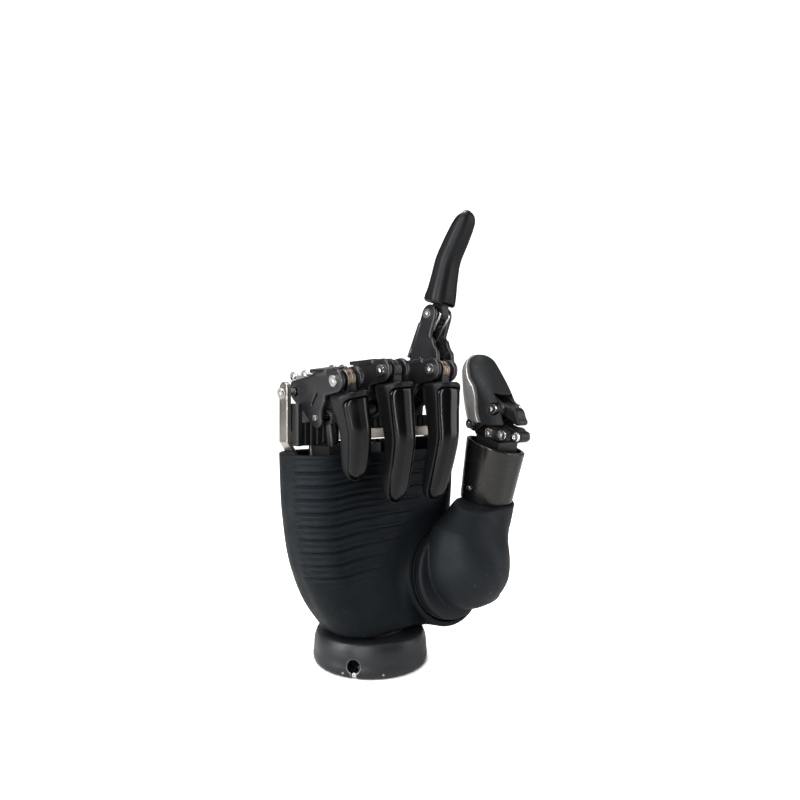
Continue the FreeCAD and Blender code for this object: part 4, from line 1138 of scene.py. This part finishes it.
def yoke_screws(x, y, z):
    """A domed screw head with a key socket on each side of the yoke's front end."""
    across = np.hypot(y - YOKE_ENDS[1][0], z - YOKE_ENDS[1][1])
    side = np.abs(x - THUMB_PIVOT[0]) - YOKE_HALF_W
    head = plate(across - YOKE_SCREW_R, slab(side, -0.3, YOKE_SCREW_T), 0.5)
    socket = np.maximum(across - YOKE_SOCKET_R, YOKE_SCREW_T - YOKE_SOCKET_DEPTH - side)
    return cut(head, socket, 0.15)


def build_yoke():
    ends = np.array(YOKE_ENDS)
    low = (THUMB_PIVOT[0] - YOKE_HALF_W - 3, ends[:, 0].min() - 4, ends[:, 1].min() - 4)
    high = (THUMB_PIVOT[0] + YOKE_HALF_W + 3, ends[:, 0].max() + 5, ends[:, 1].max() + 4)
    shape("thumb_yoke", "thumb_base", knuckle_yoke, low, high, 0.3, "black", "dark_alloy")
    shape("thumb_yoke_screws", "thumb_base", yoke_screws, low, high, 0.2, "steel", "steel")


def build_thumb_tip():
    low = (THUMB_PIVOT[0] - ARM_HALF_W - 1, ARM_ENDS[2][0] - 4, ARM_ENDS[2][1] - 4)
    high = (THUMB_PIVOT[0] + ARM_HALF_W + 1, ARM_ENDS[0][0] + 5, ARM_ENDS[0][1] + 5)
    shape(
        "thumb_tendon_arm", "thumb_tip", tendon_arm, low, high, 0.25,
        "black", "dark_alloy", "thumb_drive_arm",
    )
    low, high = (-10.2, -14.5, -12.0), (10.2, 14.5, THUMB_LENGTH + 1.5)
    # The back shell's pale material is a painted highlight on the thumb's back.
    shape(
        "thumb_back_shell", "thumb_tip", thumb_piece(True), low, high, 0.3,
        "thumb_back_highlight", "gunmetal", "thumb_tip_shell", THUMB_PLACE,
    )
    shape(
        "thumb_grip_pad", "thumb_tip", thumb_piece(False), low, high, 0.32,
        "pad", "rubber", "thumb_tip_pad", THUMB_PLACE,
    )


# Stage ----------------------------------------

def plain_white(name, shade, glow):
    """Matte white that looks evenly lit to the camera without lighting the hand any more."""
    m = Nodes(name)
    tone = m.spread(m.noise(6.0, 2.0), 0.3, 0.7, shade * 0.995, shade)
    seen = m.add("ShaderNodeLightPath").outputs["Is Camera Ray"]
    away = m.add("ShaderNodeVectorMath", operation="LENGTH")
    m.link(m.place, away.inputs[0])
    both = m.add("ShaderNodeMath", operation="MULTIPLY")
    m.link(seen, both.inputs[0])
    m.link(m.spread(away.outputs["Value"], *DARK_INSIDE_RING, 0.0, glow), both.inputs[1])
    m.shader.inputs["Emission Color"].default_value = (1.0, 1.0, 1.0, 1.0)
    return m.finish(Base_Color=tone, Roughness=0.9, Emission_Strength=both.outputs[0])


def build_stage():
    """Pale floor that sweeps up into a pale backdrop."""
    front, back = STAGE_Y
    profile = [(front, 0.0)]
    for i in range(STAGE_STEPS + 1):
        turn = math.radians(90.0 * i / STAGE_STEPS)
        rise = STAGE_CORNER - STAGE_CORNER * math.cos(turn)
        profile.append((back - STAGE_CORNER + STAGE_CORNER * math.sin(turn), rise))
    profile.append((back, STAGE_HEIGHT))
    aside = Matrix.Rotation(math.radians(-CAMERA_TURN), 3, "Z")
    sides = (-STAGE_HALF_WIDTH, STAGE_HALF_WIDTH)
    verts = [aside @ Vector((x, y, z - STAGE_BELOW)) for y, z in profile for x in sides]
    faces = [(2 * i, 2 * i + 1, 2 * i + 3, 2 * i + 2) for i in range(len(profile) - 1)]
    mesh = bpy.data.meshes.new("stage_sweep")
    mesh.from_pydata(verts, [], faces)
    mesh.shade_smooth()
    mesh.materials.append(plain_white("stage_white", STAGE_SHADE, STAGE_GLOW))
    sweep = bpy.data.objects.new("stage_sweep", mesh)
    bpy.context.scene.collection.objects.link(sweep)


def area_light(name, turn, height, distance, size, power):
    """Soft box at a heading from the camera's side, aimed at the hand."""
    data = bpy.data.lights.new(name, "AREA")
    data.shape = "RECTANGLE"
    data.size, data.size_y = size
    data.energy = power
    light = bpy.data.objects.new(name, data)
    heading = math.radians(CAMERA_TURN - turn)
    place = Vector((-distance * math.sin(heading), -distance * math.cos(heading), height))
    light.location = place
    light.rotation_euler = (Vector((0, 0, LIGHT_AIM_Z)) - place).to_track_quat("-Z", "Y").to_euler()
    bpy.context.scene.collection.objects.link(light)


def build_world():
    """White to the camera, dimmer to everything else, so that the dark covers keep their contrast."""
    world = bpy.data.worlds.new("studio")
    bpy.context.scene.world = world
    world.use_nodes = True
    tree = world.node_tree
    seen = tree.nodes.new("ShaderNodeLightPath")
    level = tree.nodes.new("ShaderNodeMapRange")
    level.inputs["To Min"].default_value = WORLD_LIGHT
    level.inputs["To Max"].default_value = 1.0
    tree.links.new(seen.outputs["Is Camera Ray"], level.inputs["Value"])
    tree.links.new(level.outputs["Result"], tree.nodes["Background"].inputs["Strength"])
    tree.nodes["Background"].inputs["Color"].default_value = (1.0, 1.0, 1.0, 1.0)


def build_lights():
    for name, settings in LIGHTS.items():
        area_light(name, *settings)
    bpy.context.scene.view_settings.view_transform = "Standard"


def build_camera():
    """Level camera in front of the palm, turned towards the little finger's side."""
    data = bpy.data.cameras.new("camera")
    data.lens = CAMERA_LENS
    data.shift_x, data.shift_y = CAMERA_SHIFT
    data.clip_start = 0.01
    camera = bpy.data.objects.new("camera", data)
    turn = math.radians(CAMERA_TURN)
    camera.location = Vector((-math.sin(turn), -math.cos(turn), 0)) * CAMERA_DISTANCE * MM
    camera.location.z = CAMERA_HEIGHT * MM
    camera.rotation_euler = (math.radians(90.0), 0.0, -turn)
    bpy.context.scene.collection.objects.link(camera)
    bpy.context.scene.camera = camera


# Assembly -------------------------------------

build_ring()
build_palm()
build_guards()
build_thumb_base()
for finger_name in FINGERS:
    build_finger(finger_name)
build_thumb_tip()
build_yoke()
finish_cad_nodes()
build_stage()
build_world()
build_lights()
build_camera()
